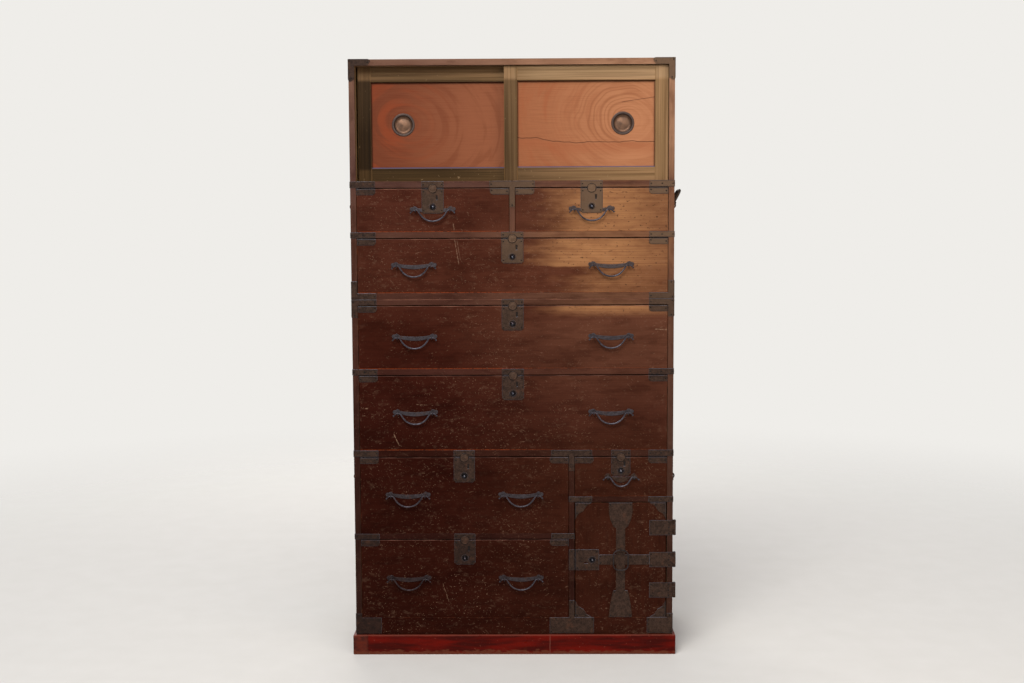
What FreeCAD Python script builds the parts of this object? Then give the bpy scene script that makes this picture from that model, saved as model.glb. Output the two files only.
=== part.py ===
import FreeCAD, Part
import math
import os

# Clothing chest in two stacked cases on a plinth. Millimetres, Z up, the front faces -Y.
# The origin is on the floor, under the middle of the whole chest with its pulls.
vector = FreeCAD.Vector

# Cases
case_width = 909.0
case_depth = 440.0
side_board = 16.5
back_board = 9.0
back_plank_count = 5
finger_count = 7
partition_board = 15.7
partition_offset = 166.0
divider_board = 15.5
rail_depth = 48.0
runner_width = 22.0
runner_height = 12.0

# Heights, from the floor up; the openings share what the boards leave of the chest's height
chest_height = 1691.0
plinth_height = 56.0
bottom_rail_height = 50.0
bottom_board = 16.0
left_5_share = 0.15833
rail_5 = 15.5
left_4_share = 0.15385
rail_4 = 18.0
wide_3_share = 0.14902
rail_3 = 16.5
wide_2_share = 0.12522
lower_top_board = 16.0
upper_bottom_board = 18.0
wide_1_share = 0.10693
rail_2 = 16.5
small_share = 0.08555
sill_board = 18.0
upper_top_board = 17.0
right_small_share = 0.08037
rail_6 = 15.5
bottom_rail_board = 20.0

# Plinth
plinth_step = 8.5
plinth_front_board = 26.0
plinth_side_beam = 42.0
plinth_back_board = 26.0

# Drawers
drawer_side_gap = 1.2
drawer_floor_gap = 0.3
drawer_head_gap = 2.8
drawer_back_gap = 6.0
drawer_front = 20.0
drawer_wall = 9.0
drawer_bottom = 7.0
drawer_wall_drop = 6.0
drawer_lap = 9.0

# Locks
lock_width = 62.0
lock_height = 69.0
left_lock_width = 60.0
left_lock_height = 71.0
right_lock_width = 54.0
right_lock_height = 53.0
lock_plate = 1.6
lock_chamfer = 5.0
lock_margin = 9.0
lock_pocket = 13.0
lock_box = 6.0
lock_disc_radius = 12.0
lock_disc = 1.8
button_radius = 6.0
button_proud = 3.8
button_reach = 2.5
button_gap = 0.3
button_share = 0.735
key_drop_share = 0.35
key_side_share = 0.19
wide_pull_share = 0.317
left_pull_share = 0.27
key_slot_width = 3.4
key_slot_height = 10.0
round_sides = 12
facet_angle = 30.0

# Drawer pulls: a bail in two eyes on a moustache-shaped plate
bail_span = 97.0
bail_drop = 31.0
small_bail_span = 74.0
small_bail_drop = 26.5
bail_bar = 4.8
bail_bend = 4.5
bail_slope = 57.0
bail_tip_slope = 42.0
bail_tip_length = 11.5
bail_standoff = 10.0
eye_thickness = 4.0
eye_wall = 2.6
eye_gap = 0.35
eye_margin = 1.6
eye_foot = 3.0
pull_plate = 1.4
pull_plate_end = 15.5
pull_plate_lobe = 11.3
pull_plate_crest = 3.0
pull_plate_belly = 9.0
pull_plate_waist = 1.5
pull_plate_shoulder_share = 0.85
pull_rosette_radius = 9.0
crescent_reach = 27.0
crescent_drop = 16.5
section_sides = 6
eye_sides = 6

# Iron straps on the cases and drawers
strap = 1.2
strap_length = 70.0
strap_wrap = 24.0
corner_plate_length = 53.0
corner_plate_height = 17.0
corner_plate_round = 8.0
stile_strap_rise = 34.0
bottom_plate_rise = 12.0
bottom_plate_height = 46.0
bottom_plate_length = 73.0
middle_plate_length = 127.0
middle_strap_length = 127.0
partition_strap_rise = 50.0
partition_strap_drop = 42.0
divider_strap_drop = 55.0
partition_tee_length = 116.0
bracket_leg = 62.0
bracket_width = 18.0
bracket_round = 7.0
bracket_wrap = 22.0

# Sliding doors
sliding_overlap = 47.6
sliding_board = 18.0
sliding_setback = 8.0
sliding_gap = 2.5
sliding_stile = 37.0
sliding_head = 41.0
sliding_foot = 37.0
sliding_panel = 7.0
sliding_panel_setback = 7.0
sliding_panel_lap = 6.0
sliding_ajar = 5.0
sliding_jamb_gap = 0.6
tongue = 8.0
track_gap = 0.3
sill_track_depth = 3.5
head_track_depth = 7.0
head_tongue = 5.5
head_gap = 1.2
dish_rim_radius = 32.5
dish_radius = 26.0
dish_wall = 1.2
dish_depth = 7.5
dish_rim = 1.4
dish_dome = 2.2
dish_floor_radius = 20.0
dish_dome_radius = 10.0
dome_share = 0.75
dish_gap = 0.2
dish_sides = 24
dish_inset = 127.0
dish_rise = 159.5

# Hinged door
door_board = 18.0
door_free_gap = 2.8
door_hinge_gap = 3.4
door_floor_gap = 1.0
door_head_gap = 2.5
hinge_height = 43.0
hinge_strap_reach = 66.5
hinge_rise_shares = (0.237, 0.504, 0.783)
hinge_leaf = 30.0
knuckle_radius = 4.5
knuckle_height = 11.0
knuckle_gap = 0.3
hinge_pin_radius = 2.4
hinge_pin_gap = 0.06
hinge_side_gap = 0.3
barrel_sides = 8
band_width = 26.0
band_height = 29.0
flare_width = 67.0
flare_top_length = 74.0
flare_top_straight = 28.0
flare_neck_width = 42.0
flare_neck_rise = 6.0
flare_foot_length = 78.0
flare_shoulder = 46.0
flare_shoulder_drop = 7.0
flare_foot_bulge = 3.0
door_corner_leg = 46.0
door_corner_hollow = 4.0
door_lock_width = 67.0
door_lock_height = 60.0
door_button_inset = 19.0
door_key_inset = 37.0
door_key_drop = 39.0
ring_width = 42.0
ring_height = 58.0
ring_bar = 4.6
ring_corner = 16.5

# Carrying handles on the sides
grip_span = 116.0
grip_drop = 50.0
grip_bar = 9.0
grip_bend = 9.0
grip_corner = 20.0
grip_slope = 80.0
grip_tip_slope = 35.0
grip_tip_length = 15.0
grip_standoff = 14.0
grip_eye_thickness = 8.0
grip_eye_wall = 4.4
grip_eye_foot = 5.0
grip_rosette_radius = 19.0
grip_rosette = 2.0
grip_raised_angle = 152.0
upper_grip_share = 0.396
lower_grip_share = 0.446

# Levels worked out from the heights
rails = rail_2 + rail_3 + rail_4 + rail_5
level_boards = lower_top_board + upper_bottom_board + sill_board + upper_top_board
open_height = chest_height - plinth_height - bottom_rail_height - rails - level_boards
left_5_opening = open_height * left_5_share
left_4_opening = open_height * left_4_share
wide_3_opening = open_height * wide_3_share
wide_2_opening = open_height * wide_2_share
wide_1_opening = open_height * wide_1_share
small_opening = open_height * small_share
right_small_opening = open_height * right_small_share
plinth_top = plinth_height
low_floor = plinth_top + bottom_rail_height
rail_5_bottom = low_floor + left_5_opening
rail_5_top = rail_5_bottom + rail_5
rail_4_bottom = rail_5_top + left_4_opening
rail_4_top = rail_4_bottom + rail_4
rail_3_bottom = rail_4_top + wide_3_opening
rail_3_top = rail_3_bottom + rail_3
lower_top_bottom = rail_3_top + wide_2_opening
seam = lower_top_bottom + lower_top_board
upper_floor = seam + upper_bottom_board
rail_2_bottom = upper_floor + wide_1_opening
rail_2_top = rail_2_bottom + rail_2
sill_bottom = rail_2_top + small_opening
sill_top = sill_bottom + sill_board
case_top = chest_height
head_bottom = case_top - upper_top_board
upper_grip_height = seam + (case_top - seam) * upper_grip_share
lower_grip_height = plinth_top + (seam - plinth_top) * lower_grip_share
rail_6_top = rail_4_bottom - right_small_opening
rail_6_bottom = rail_6_top - rail_6

# Places across and in depth
half_width = case_width / 2
inner_half = half_width - side_board
sliding_width = inner_half - (sliding_ajar + sliding_jamb_gap - sliding_overlap) / 2
partition_left = partition_offset - partition_board / 2
partition_right = partition_offset + partition_board / 2
section_radius = bail_bar / 2 / math.cos(math.pi / section_sides)
eye_radius = (section_radius + eye_gap) / math.cos(math.pi / eye_sides) + eye_wall
pull_reach = bail_standoff + eye_radius
front = (pull_reach - case_depth) / 2
rear = front + case_depth
inner_rear = rear - back_board
overrun = case_depth


def box(x0, x1, y0, y1, z0, z1):
    """Return a block between three pairs of limits."""
    return Part.makeBox(x1 - x0, y1 - y0, z1 - z0, vector(x0, y0, z0))


def turned(shape, angle, axis):
    """Return a copy turned about an axis through the origin."""
    copy = shape.copy()
    copy.rotate(vector(0, 0, 0), axis, angle)
    return copy


def mirrored(shape):
    """Return the left-hand twin of a shape."""
    return shape.mirror(vector(0, 0, 0), vector(1, 0, 0))


def both_sides(shape):
    """Return a right-hand shape and its left-hand twin."""
    return [shape, mirrored(shape)]


def at(x, z):
    """Return a point of an outline in the XZ plane."""
    return vector(x, 0, z)


def bow(start, middle, end, least=2):
    """Return the corner points of an arc through three points, cut into facets."""
    edge = Part.Arc(start, middle, end).toShape()
    turn = math.degrees(edge.Length / edge.Curve.Radius)
    return edge.discretize(max(least, math.ceil(turn / facet_angle)) + 1)


def plate(outline, back, thickness):
    """Return a plate with an outline in the XZ plane, standing proud of y = back."""
    points = [outline[0]]
    for point in outline[1:]:
        if point.distanceToPoint(points[-1]) > eye_gap:
            points.append(point)
    face = Part.Face(Part.makePolygon(points + [points[0]]))
    face.translate(vector(0, back, 0))
    return face.extrude(vector(0, -thickness, 0))


def polygon(centre, side, up, radius, sides):
    """Return a regular polygon with flats above and below, square to side x up."""
    points = []
    for index in range(sides + 1):
        angle = 2 * math.pi * (index + 0.5) / sides
        points.append(centre + side * (radius * math.sin(angle)) + up * (radius * math.cos(angle)))
    return Part.makePolygon(points)


def disc(x, back, z, radius, thickness, sides=round_sides):
    """Return a round plate that stands proud of y = back."""
    face = Part.Face(polygon(vector(x, back, z), vector(1, 0, 0), vector(0, 0, 1), radius, sides))
    return face.extrude(vector(0, -thickness, 0))


def hole_radius(radius, gap, sides):
    """Return the corner radius of a faceted hole that clears a round piece by a gap."""
    return (radius + gap) / math.cos(math.pi / sides)


def rounded_path(points, radii):
    """Return a polygon through the points whose inner corners are rounded with facets."""
    path = [points[0]]
    for index, radius in enumerate(radii):
        corner = points[index + 1]
        incoming = (corner - points[index]).normalize()
        outgoing = (points[index + 2] - corner).normalize()
        half_turn = incoming.getAngle(outgoing) / 2
        reach = radius * math.tan(half_turn)
        inward = (outgoing - incoming).normalize()
        middle = corner + inward * (radius / math.cos(half_turn) - radius)
        path += bow(corner - incoming * reach, middle, corner + outgoing * reach)
    path.append(points[-1])
    return Part.makePolygon(path)


def bar_along(path, bar):
    """Return a faceted bar along a polygon that lies in the XZ plane, mitred at its corners."""
    start = path.Vertexes[0].Point
    direction = (path.Vertexes[1].Point - start).normalize()
    depth = vector(0, 1, 0)
    radius = bar / 2 / math.cos(math.pi / section_sides)
    profile = polygon(start, depth.cross(direction), depth, radius, section_sides)
    return path.makePipeShell([profile], True, False, 1)


def fern_bail(span, drop):
    """Return a pull's bail at the origin: tips turned down and out, a round belly below."""
    slope = math.radians(bail_slope)
    tip_slope = math.radians(bail_tip_slope)
    straight = eye_thickness / 2 + eye_margin
    inner = span / 2 - straight - bail_bend * math.tan(slope / 2)
    outer = span / 2 + straight + bail_bend * math.tan(tip_slope / 2)
    depth = inner * math.tan(slope)
    belly = (depth - drop) / (1 / math.cos(slope) - 1)
    tip_x = outer + bail_tip_length * math.cos(tip_slope)
    tip_z = -bail_tip_length * math.sin(tip_slope)
    points = [at(-tip_x, tip_z), at(-outer, 0), at(-inner, 0), at(0, -depth)]
    points += [at(inner, 0), at(outer, 0), at(tip_x, tip_z)]
    return bar_along(rounded_path(points, [bail_bend, bail_bend, belly, bail_bend, bail_bend]), bail_bar)


def grip_bail():
    """Return a carrying handle's bail at the origin, squarer than a pull's."""
    slope = math.radians(grip_slope)
    tip_slope = math.radians(grip_tip_slope)
    straight = grip_eye_thickness / 2 + eye_margin
    inner = grip_span / 2 - straight - grip_bend * math.tan(slope / 2)
    outer = grip_span / 2 + straight + grip_bend * math.tan(tip_slope / 2)
    corner = inner - grip_drop / math.tan(slope)
    tip_x = outer + grip_tip_length * math.cos(tip_slope)
    tip_z = -grip_tip_length * math.sin(tip_slope)
    points = [at(-tip_x, tip_z), at(-outer, 0), at(-inner, 0), at(-corner, -grip_drop)]
    points += [at(-point.x, point.z) for point in reversed(points)]
    radii = [grip_bend, grip_bend, grip_corner, grip_corner, grip_bend, grip_bend]
    return bar_along(rounded_path(points, radii), grip_bar)


def eye(bar, wall, foot, thickness, standoff, seat):
    """Return an eye round the X axis at the origin, its shank reaching back to its seat."""
    inner = hole_radius(bar / 2 / math.cos(math.pi / section_sides), eye_gap, eye_sides)
    outer = inner + wall
    back = standoff - seat
    points = [vector(0, back, -foot)]
    for index in range(eye_sides - 1):
        angle = 2 * math.pi * (index + 1 - eye_sides / 2) / eye_sides
        points.append(vector(0, -outer * math.cos(angle), outer * math.sin(angle)))
    points += [vector(0, back, foot), points[0]]
    hole = polygon(vector(0, 0, 0), vector(0, 1, 0), vector(0, 0, 1), inner, eye_sides)
    ring = Part.Face(Part.makePolygon(points)).cut(Part.Face(hole))
    ring.translate(vector(-thickness / 2, 0, 0))
    return ring.extrude(vector(thickness, 0, 0))


def moustache_plate(span, x, back, z):
    """Return a pull's back plate: a drooping band whose two ends rise in lobes."""
    lobe = span / 2
    end = lobe + pull_plate_end
    crown = pull_plate_lobe
    shoulder = at((lobe + end) / 2, crown * pull_plate_shoulder_share)
    right = bow(at(lobe, crown), shoulder, at(end, pull_plate_waist))
    right.append(at(lobe, -pull_plate_waist))
    below = bow(right[-1], at(0, -pull_plate_belly), at(-lobe, -pull_plate_waist), 4)
    left = [at(-point.x, point.z) for point in reversed(right)]
    above = bow(left[-1], at(0, pull_plate_crest), right[0], 4)
    outline = [point + at(x, z) for point in right + below + left + above]
    return plate(outline, back, pull_plate)


def crescent_plate(x, back, z):
    """Return the half-moon plate of the small right-hand pull."""
    outline = bow(at(crescent_reach, 0), at(0, -crescent_drop), at(-crescent_reach, 0), 6)
    return plate([point + at(x, z) for point in outline], back, pull_plate)


def corner_plate(outer, inner, top):
    """Return a drawer's corner plate, rounded at its inner lower corner."""
    bottom = top - corner_plate_height
    turn = math.copysign(corner_plate_round, inner - outer)
    lift = corner_plate_round * (1 - math.sqrt(0.5))
    inset = turn * (1 - math.sqrt(0.5))
    outline = [at(outer, top), at(inner, top)]
    outline += bow(at(inner, bottom + corner_plate_round), at(inner - inset, bottom + lift),
                   at(inner - turn, bottom))
    outline.append(at(outer, bottom))
    return plate(outline, front, strap)


def lock_face(x, top, width, height):
    """Return a lock plate with its button hole and key slot, its lower corners cut off."""
    half = width / 2
    bottom = top - height
    outline = [at(x - half, top), at(x + half, top), at(x + half, bottom + lock_chamfer)]
    outline += [at(x + half - lock_chamfer, bottom), at(x - half + lock_chamfer, bottom)]
    outline.append(at(x - half, bottom + lock_chamfer))
    shape = plate(outline, front, lock_plate)
    key_x = x + width * key_side_share
    key_z = top - height * key_drop_share
    slot = box(key_x - key_slot_width / 2, key_x + key_slot_width / 2, front - overrun, front + overrun,
               key_z - key_slot_height / 2, key_z + key_slot_height / 2)
    return shape.cut(button_hole(x, top - height * button_share)).cut(slot)


def button_hole(x, z):
    """Return the cutter for a push button's hole."""
    radius = hole_radius(button_radius, button_gap, round_sides)
    return disc(x, front + overrun, z, radius, 2 * overrun)


def push_button(x, z):
    """Return a push button that stands proud of its lock plate."""
    return disc(x, front + button_reach, z, button_radius, lock_plate + button_proud + button_reach)


def mortise(x0, x1, z0, z1):
    """Return the hollow that a lock is let into."""
    return box(x0, x1, front, front + lock_pocket, z0, z1)


def lock_body(hollow):
    """Return the closed lock at the bottom of its mortise."""
    limits = hollow.BoundBox
    return box(limits.XMin, limits.XMax, limits.YMax - lock_box, limits.YMax, limits.ZMin, limits.ZMax)


class Drawer:
    """One drawer: its bay, its lock and its pulls."""

    def __init__(self, name, bay, floor, opening, lock_x, lock_size, pulls):
        self.name = name
        self.x0 = bay[0] + drawer_side_gap
        self.x1 = bay[1] - drawer_side_gap
        self.z0 = floor + drawer_floor_gap
        self.z1 = floor + opening - drawer_head_gap
        self.lock_x = lock_x
        self.lock_width, self.lock_height = lock_size
        self.pulls = pulls
        self.span = bail_span
        self.drop = bail_drop
        self.y1 = inner_rear - drawer_back_gap
        self.pull_z = (self.z0 + self.z1) / 2
        self.button_z = self.z1 - self.lock_height * button_share
        self.wall_top = self.z1 - drawer_wall_drop
        self.wall_foot = self.z0 + drawer_bottom

    def hollow(self):
        """Return the mortise behind the lock plate."""
        half = self.lock_width / 2 - lock_margin
        low = self.z1 - self.lock_height + lock_chamfer
        return mortise(self.lock_x - half, self.lock_x + half, low, self.z1 - lock_margin)

    def wood(self):
        """Return the front, the two sides, the back and the bottom as separate boards."""
        lap = front + drawer_front - drawer_lap
        left = box(self.x0, self.x0 + drawer_wall, lap, self.y1, self.wall_foot, self.wall_top)
        right = box(self.x1 - drawer_wall, self.x1, lap, self.y1, self.wall_foot, self.wall_top)
        back = box(self.x0 + drawer_wall, self.x1 - drawer_wall, self.y1 - drawer_wall, self.y1,
                   self.wall_foot, self.wall_top)
        bottom = box(self.x0, self.x1, front + drawer_front, self.y1, self.z0, self.wall_foot)
        face = box(self.x0, self.x1, front, front + drawer_front, self.z0, self.z1)
        face = face.cut(Part.makeCompound([left, right, self.hollow()]))
        return Part.makeCompound([face, left, right, back, bottom])

    def iron(self):
        """Return the lock, the corner plates and the pulls' plates and eyes."""
        solids = [lock_face(self.lock_x, self.z1, self.lock_width, self.lock_height)]
        solids.append(disc(self.lock_x, front - lock_plate, self.z1, lock_disc_radius, lock_disc))
        solids.append(lock_body(self.hollow()))
        solids.append(corner_plate(self.x0, self.x0 + corner_plate_length, self.z1))
        solids.append(corner_plate(self.x1, self.x1 - corner_plate_length, self.z1))
        for x in self.pulls:
            solids += self.plates(x) + self.eyes(x)
        return Part.makeCompound(solids)

    def cover(self):
        """Return the space that the lock plate takes up."""
        half = self.lock_width / 2
        return box(self.lock_x - half, self.lock_x + half, front - overrun, front,
                   self.z1 - self.lock_height, self.z1)

    def plates(self, x):
        """Return one pull's plate, cut away where the lock plate covers it."""
        return moustache_plate(self.span, x, front, self.pull_z).cut(self.cover()).Solids

    def eyes(self, x):
        """Return one pull's two eyes."""
        solids = []
        for side in (-1, 1):
            ring = eye(bail_bar, eye_wall, eye_foot, eye_thickness, bail_standoff, pull_plate)
            ring.translate(vector(x + side * self.span / 2, front - bail_standoff, self.pull_z))
            solids.append(ring)
        return solids

    def bail(self, x):
        """Return one pull's bail, hanging."""
        shape = fern_bail(self.span, self.drop)
        shape.translate(vector(x, front - bail_standoff, self.pull_z))
        return shape

    def button(self):
        """Return the lock's push button."""
        return push_button(self.lock_x, self.button_z)


class SafeDrawer(Drawer):
    """The small right-hand drawer, whose shorter pull has rosettes and a half-moon plate."""

    def __init__(self, name, bay, floor, opening, lock_x, lock_size, pulls):
        super().__init__(name, bay, floor, opening, lock_x, lock_size, pulls)
        self.span = small_bail_span
        self.drop = small_bail_drop

    def plates(self, x):
        """Return the pull's two rosettes and the part of its half-moon below the lock plate."""
        solids = crescent_plate(x, front, self.pull_z).cut(self.cover()).Solids
        for side in (-1, 1):
            solids.append(disc(x + side * self.span / 2, front, self.pull_z, pull_rosette_radius, pull_plate))
        return solids


def middle_of(bay):
    """Return the place midway across a bay."""
    return (bay[0] + bay[1]) / 2


def pull_pair(bay, share):
    """Return the places of two pulls at a share of the bay's width from its middle."""
    reach = (bay[1] - bay[0]) * share
    return [middle_of(bay) - reach, middle_of(bay) + reach]


upper_left_bay = (-inner_half, -divider_board / 2)
upper_right_bay = (divider_board / 2, inner_half)
wide_bay = (-inner_half, inner_half)
left_bay = (-inner_half, partition_left)
right_bay = (partition_right, inner_half)
wide_pulls = pull_pair(wide_bay, wide_pull_share)
left_pulls = pull_pair(left_bay, left_pull_share)
small_left_middle = middle_of(upper_left_bay)
small_right_middle = middle_of(upper_right_bay)
left_middle = middle_of(left_bay)
right_middle = middle_of(right_bay)
standard_lock = (lock_width, lock_height)
left_lock = (left_lock_width, left_lock_height)
right_lock = (right_lock_width, right_lock_height)

drawers = [
    Drawer("small_drawer_left", upper_left_bay, rail_2_top, small_opening, small_left_middle,
           standard_lock, [small_left_middle]),
    Drawer("small_drawer_right", upper_right_bay, rail_2_top, small_opening, small_right_middle,
           standard_lock, [small_right_middle]),
    Drawer("wide_drawer_1", wide_bay, upper_floor, wide_1_opening, 0, standard_lock, wide_pulls),
    Drawer("wide_drawer_2", wide_bay, rail_3_top, wide_2_opening, 0, standard_lock, wide_pulls),
    Drawer("wide_drawer_3", wide_bay, rail_4_top, wide_3_opening, 0, standard_lock, wide_pulls),
    Drawer("left_drawer_4", left_bay, rail_5_top, left_4_opening, left_middle, left_lock, left_pulls),
    Drawer("left_drawer_5", left_bay, low_floor, left_5_opening, left_middle, left_lock, left_pulls),
    SafeDrawer("safe_drawer", right_bay, rail_6_top, right_small_opening, right_middle,
               right_lock, [right_middle]),
]


def finger_cells(kept):
    """Return the depth limits of every second finger of a corner joint."""
    step = (inner_rear - front) / finger_count
    return [(front + index * step, front + (index + 1) * step) for index in range(kept, finger_count, 2)]


def finger_blocks(kept, z0, z1):
    """Return the blocks that one board of a corner joint gives up, at both sides of the case."""
    blocks = []
    for y0, y1 in finger_cells(kept):
        blocks += both_sides(box(inner_half, half_width, y0, y1, z0, z1))
    return Part.makeCompound(blocks)


def side_boards(low, high, joints):
    """Return the two side boards of a case, notched where boards are finger-jointed to them."""
    board = box(inner_half, half_width, front, inner_rear, low, high)
    for z0, z1 in joints:
        board = board.cut(finger_blocks(0, z0, z1))
    return Part.makeCompound(both_sides(board))


def jointed_board(z0, z1):
    """Return a top or bottom board whose ends are finger-jointed into the side boards."""
    return box(-half_width, half_width, front, inner_rear, z0, z1).cut(finger_blocks(1, z0, z1))


def back_planks(low, high):
    """Return the upright back planks of a case, edge to edge."""
    step = case_width / back_plank_count
    planks = []
    for index in range(back_plank_count):
        x0 = -half_width + index * step
        planks.append(box(x0, x0 + step, inner_rear, rear, low, high))
    return Part.makeCompound(planks)


def rail(bay, bottom, top):
    """Return a front rail between two uprights."""
    return box(bay[0], bay[1], front, front + rail_depth, bottom, top)


def runner(left, right, top):
    """Return a drawer runner behind a front rail."""
    return box(left, right, front + rail_depth, inner_rear, top - runner_height, top)


def runner_pair(bay, top):
    """Return the runners at both sides of a bay."""
    return [runner(bay[0], bay[0] + runner_width, top), runner(bay[1] - runner_width, bay[1], top)]


def plinth():
    """Return the plinth's boards; the left beam's end shows beside the front board."""
    half = half_width + plinth_step
    y0 = front - plinth_step
    y1 = y0 + plinth_front_board
    left = box(-half, -half + plinth_side_beam, y0, rear, 0, plinth_top)
    front_board = box(-half + plinth_side_beam, half, y0, y1, 0, plinth_top)
    right = box(half - plinth_side_beam, half, y1, rear, 0, plinth_top)
    back = box(-half + plinth_side_beam, half - plinth_side_beam, rear - plinth_back_board, rear,
               0, plinth_top)
    return Part.makeCompound([left, front_board, right, back])


def lower_boards():
    """Return the lower case's top board, bottom board and tall bottom rail."""
    bottom_rail = box(-inner_half, inner_half, front, front + bottom_rail_board, plinth_top, low_floor)
    bottom = box(-inner_half, inner_half, front + bottom_rail_board, inner_rear,
                 low_floor - bottom_board, low_floor)
    return Part.makeCompound([jointed_board(lower_top_bottom, seam), bottom_rail, bottom])


def lower_dividers():
    """Return the lower case's partition, front rails and drawer runners."""
    solids = [box(partition_left, partition_right, front, inner_rear, low_floor, rail_4_bottom)]
    solids.append(rail(wide_bay, rail_3_bottom, rail_3_top))
    solids.append(rail(wide_bay, rail_4_bottom, rail_4_top))
    solids.append(rail(left_bay, rail_5_bottom, rail_5_top))
    solids.append(rail(right_bay, rail_6_bottom, rail_6_top))
    solids += runner_pair(wide_bay, rail_3_top)
    solids += runner_pair(wide_bay, rail_4_top)
    solids += runner_pair(left_bay, rail_5_top)
    solids += runner_pair(right_bay, rail_6_top)
    solids.append(box(partition_left, partition_right, front + rail_depth, inner_rear,
                      rail_4_bottom, rail_4_top))
    return Part.makeCompound(solids)


def sliding_middle(track_index):
    """Return the depth of a sliding door's middle plane, track 0 in front and 1 behind."""
    return front + sliding_setback + sliding_board / 2 + track_index * (sliding_board + sliding_gap)


def track(track_index, z0, z1):
    """Return the groove that one sliding door runs in."""
    middle = sliding_middle(track_index)
    half = tongue / 2 + track_gap
    return box(-inner_half, inner_half, middle - half, middle + half, z0, z1)


def upper_boards():
    """Return the upper case's top board, with the doors' head grooves, and its bottom board."""
    top = jointed_board(head_bottom, case_top)
    for index in (0, 1):
        top = top.cut(track(index, head_bottom, head_bottom + head_track_depth))
    return Part.makeCompound([top, jointed_board(seam, upper_floor)])


def upper_dividers():
    """Return the upper case's sill with its tracks, the rail, the divider and the runners."""
    sill = box(-inner_half, inner_half, front, inner_rear, sill_bottom, sill_top)
    for index in (0, 1):
        sill = sill.cut(track(index, sill_top - sill_track_depth, sill_top))
    half = divider_board / 2
    solids = [sill, rail(wide_bay, rail_2_bottom, rail_2_top)]
    solids.append(box(-half, half, front, inner_rear, rail_2_top, sill_bottom))
    solids += runner_pair(wide_bay, rail_2_top)
    solids.append(runner(-half - runner_width, half + runner_width, rail_2_top))
    return Part.makeCompound(solids)


def corner_strap(bottom, top, length=strap_length, rise=0, drop=0):
    """Return a rail-end strap that wraps the right side board, with legs along its edge."""
    edge = half_width - length
    low = bottom - drop
    high = top + rise
    outline = [at(edge, bottom), at(inner_half, bottom), at(inner_half, low), at(half_width + strap, low)]
    outline += [at(half_width + strap, high), at(inner_half, high), at(inner_half, top), at(edge, top)]
    wrap = box(half_width, half_width + strap, front, front + strap_wrap, low, high)
    return plate(outline, front, strap).fuse(wrap).removeSplitter()


def strap_plate(x0, x1, z0, z1):
    """Return a plain flat strap on the front."""
    return box(x0, x1, front - strap, front, z0, z1)


def strike_plate(drawer, bottom, top):
    """Return the plate on a rail that a drawer's lock disc laps over."""
    half = drawer.lock_width / 2
    return strap_plate(drawer.lock_x - half, drawer.lock_x + half, bottom, top)


def tee_strap(middle, length, bottom, top, stem, rise, drop):
    """Return a rail strap with a stem along an upright, above or below it."""
    shape = strap_plate(middle - length / 2, middle + length / 2, bottom, top)
    if rise > 0:
        shape = shape.fuse(strap_plate(stem[0], stem[1], top, top + rise))
    if drop > 0:
        shape = shape.fuse(strap_plate(stem[0], stem[1], bottom - drop, bottom))
    return shape.removeSplitter()


def top_bracket():
    """Return the right-hand top corner bracket, wrapped over the top and the side."""
    edge = half_width + strap
    high = case_top + strap
    inner_x = edge - bracket_leg
    low = high - bracket_leg
    arm = edge - bracket_width
    shelf = high - bracket_width
    turn = bracket_round
    slant = turn * (1 - math.sqrt(0.5))
    outline = [at(edge, high)]
    outline += bow(at(inner_x + turn, high), at(inner_x + slant, high - slant), at(inner_x, high - turn))
    outline += [at(inner_x + turn, shelf), at(arm, shelf), at(arm, low + turn)]
    outline += bow(at(edge - turn, low), at(edge - slant, low + slant), at(edge, low + turn))
    shape = plate(outline, front, strap)
    over = box(inner_x + turn, edge, front, front + bracket_wrap, case_top, high)
    down = box(half_width, edge, front, front + bracket_wrap, low + turn, high)
    return shape.fuse(over).fuse(down).removeSplitter()


def on_side(shape, side, height):
    """Return a shape that faced -Y at the origin, set on a side board: 1 right, -1 left."""
    copy = turned(shape, side * 90, vector(0, 0, 1))
    copy.translate(vector(side * (half_width + grip_standoff), (front + rear) / 2, height))
    return copy


def grip_seats(height):
    """Return the rosettes and eyes of a case's two carrying handles."""
    solids = []
    for side in (-1, 1):
        for end in (-1, 1):
            x = end * grip_span / 2
            ring = eye(grip_bar, grip_eye_wall, grip_eye_foot, grip_eye_thickness, grip_standoff,
                       grip_rosette)
            ring.translate(vector(x, 0, 0))
            rosette = disc(x, grip_standoff, 0, grip_rosette_radius, grip_rosette)
            solids.append(on_side(ring, side, height))
            solids.append(on_side(rosette, side, height))
    return solids


door_left = partition_right + door_free_gap
door_right = inner_half - door_hinge_gap
door_bottom = low_floor + door_floor_gap
door_top = rail_6_bottom - door_head_gap
door_height = door_top - door_bottom
hinge_x = half_width + hinge_side_gap + knuckle_radius
hinge_y = front - lock_plate + knuckle_radius
hinge_middles = [door_bottom + door_height * share for share in hinge_rise_shares]
hinge_strap_left = half_width - hinge_strap_reach
band_z = hinge_middles[1]
band_x = (door_left + door_right) / 2
door_lock_right = door_left + door_lock_width
door_lock_low = band_z - door_lock_height / 2
door_lock_high = band_z + door_lock_height / 2
door_button_x = door_lock_right - door_button_inset
ring_top = band_z + ring_height / 2


def upright_prism(x, y, z0, z1, radius):
    """Return a round upright post, cut into facets."""
    ring = polygon(vector(x, y, z0), vector(1, 0, 0), vector(0, 1, 0), radius, barrel_sides)
    return Part.Face(ring).extrude(vector(0, 0, z1 - z0))


def knuckle(z0, z1):
    """Return one barrel of a hinge and the bore for its pin."""
    barrel = upright_prism(hinge_x, hinge_y, z0, z1, knuckle_radius)
    bore_radius = hole_radius(hinge_pin_radius, hinge_pin_gap, barrel_sides)
    return barrel, upright_prism(hinge_x, hinge_y, z0, z1, bore_radius)


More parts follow.
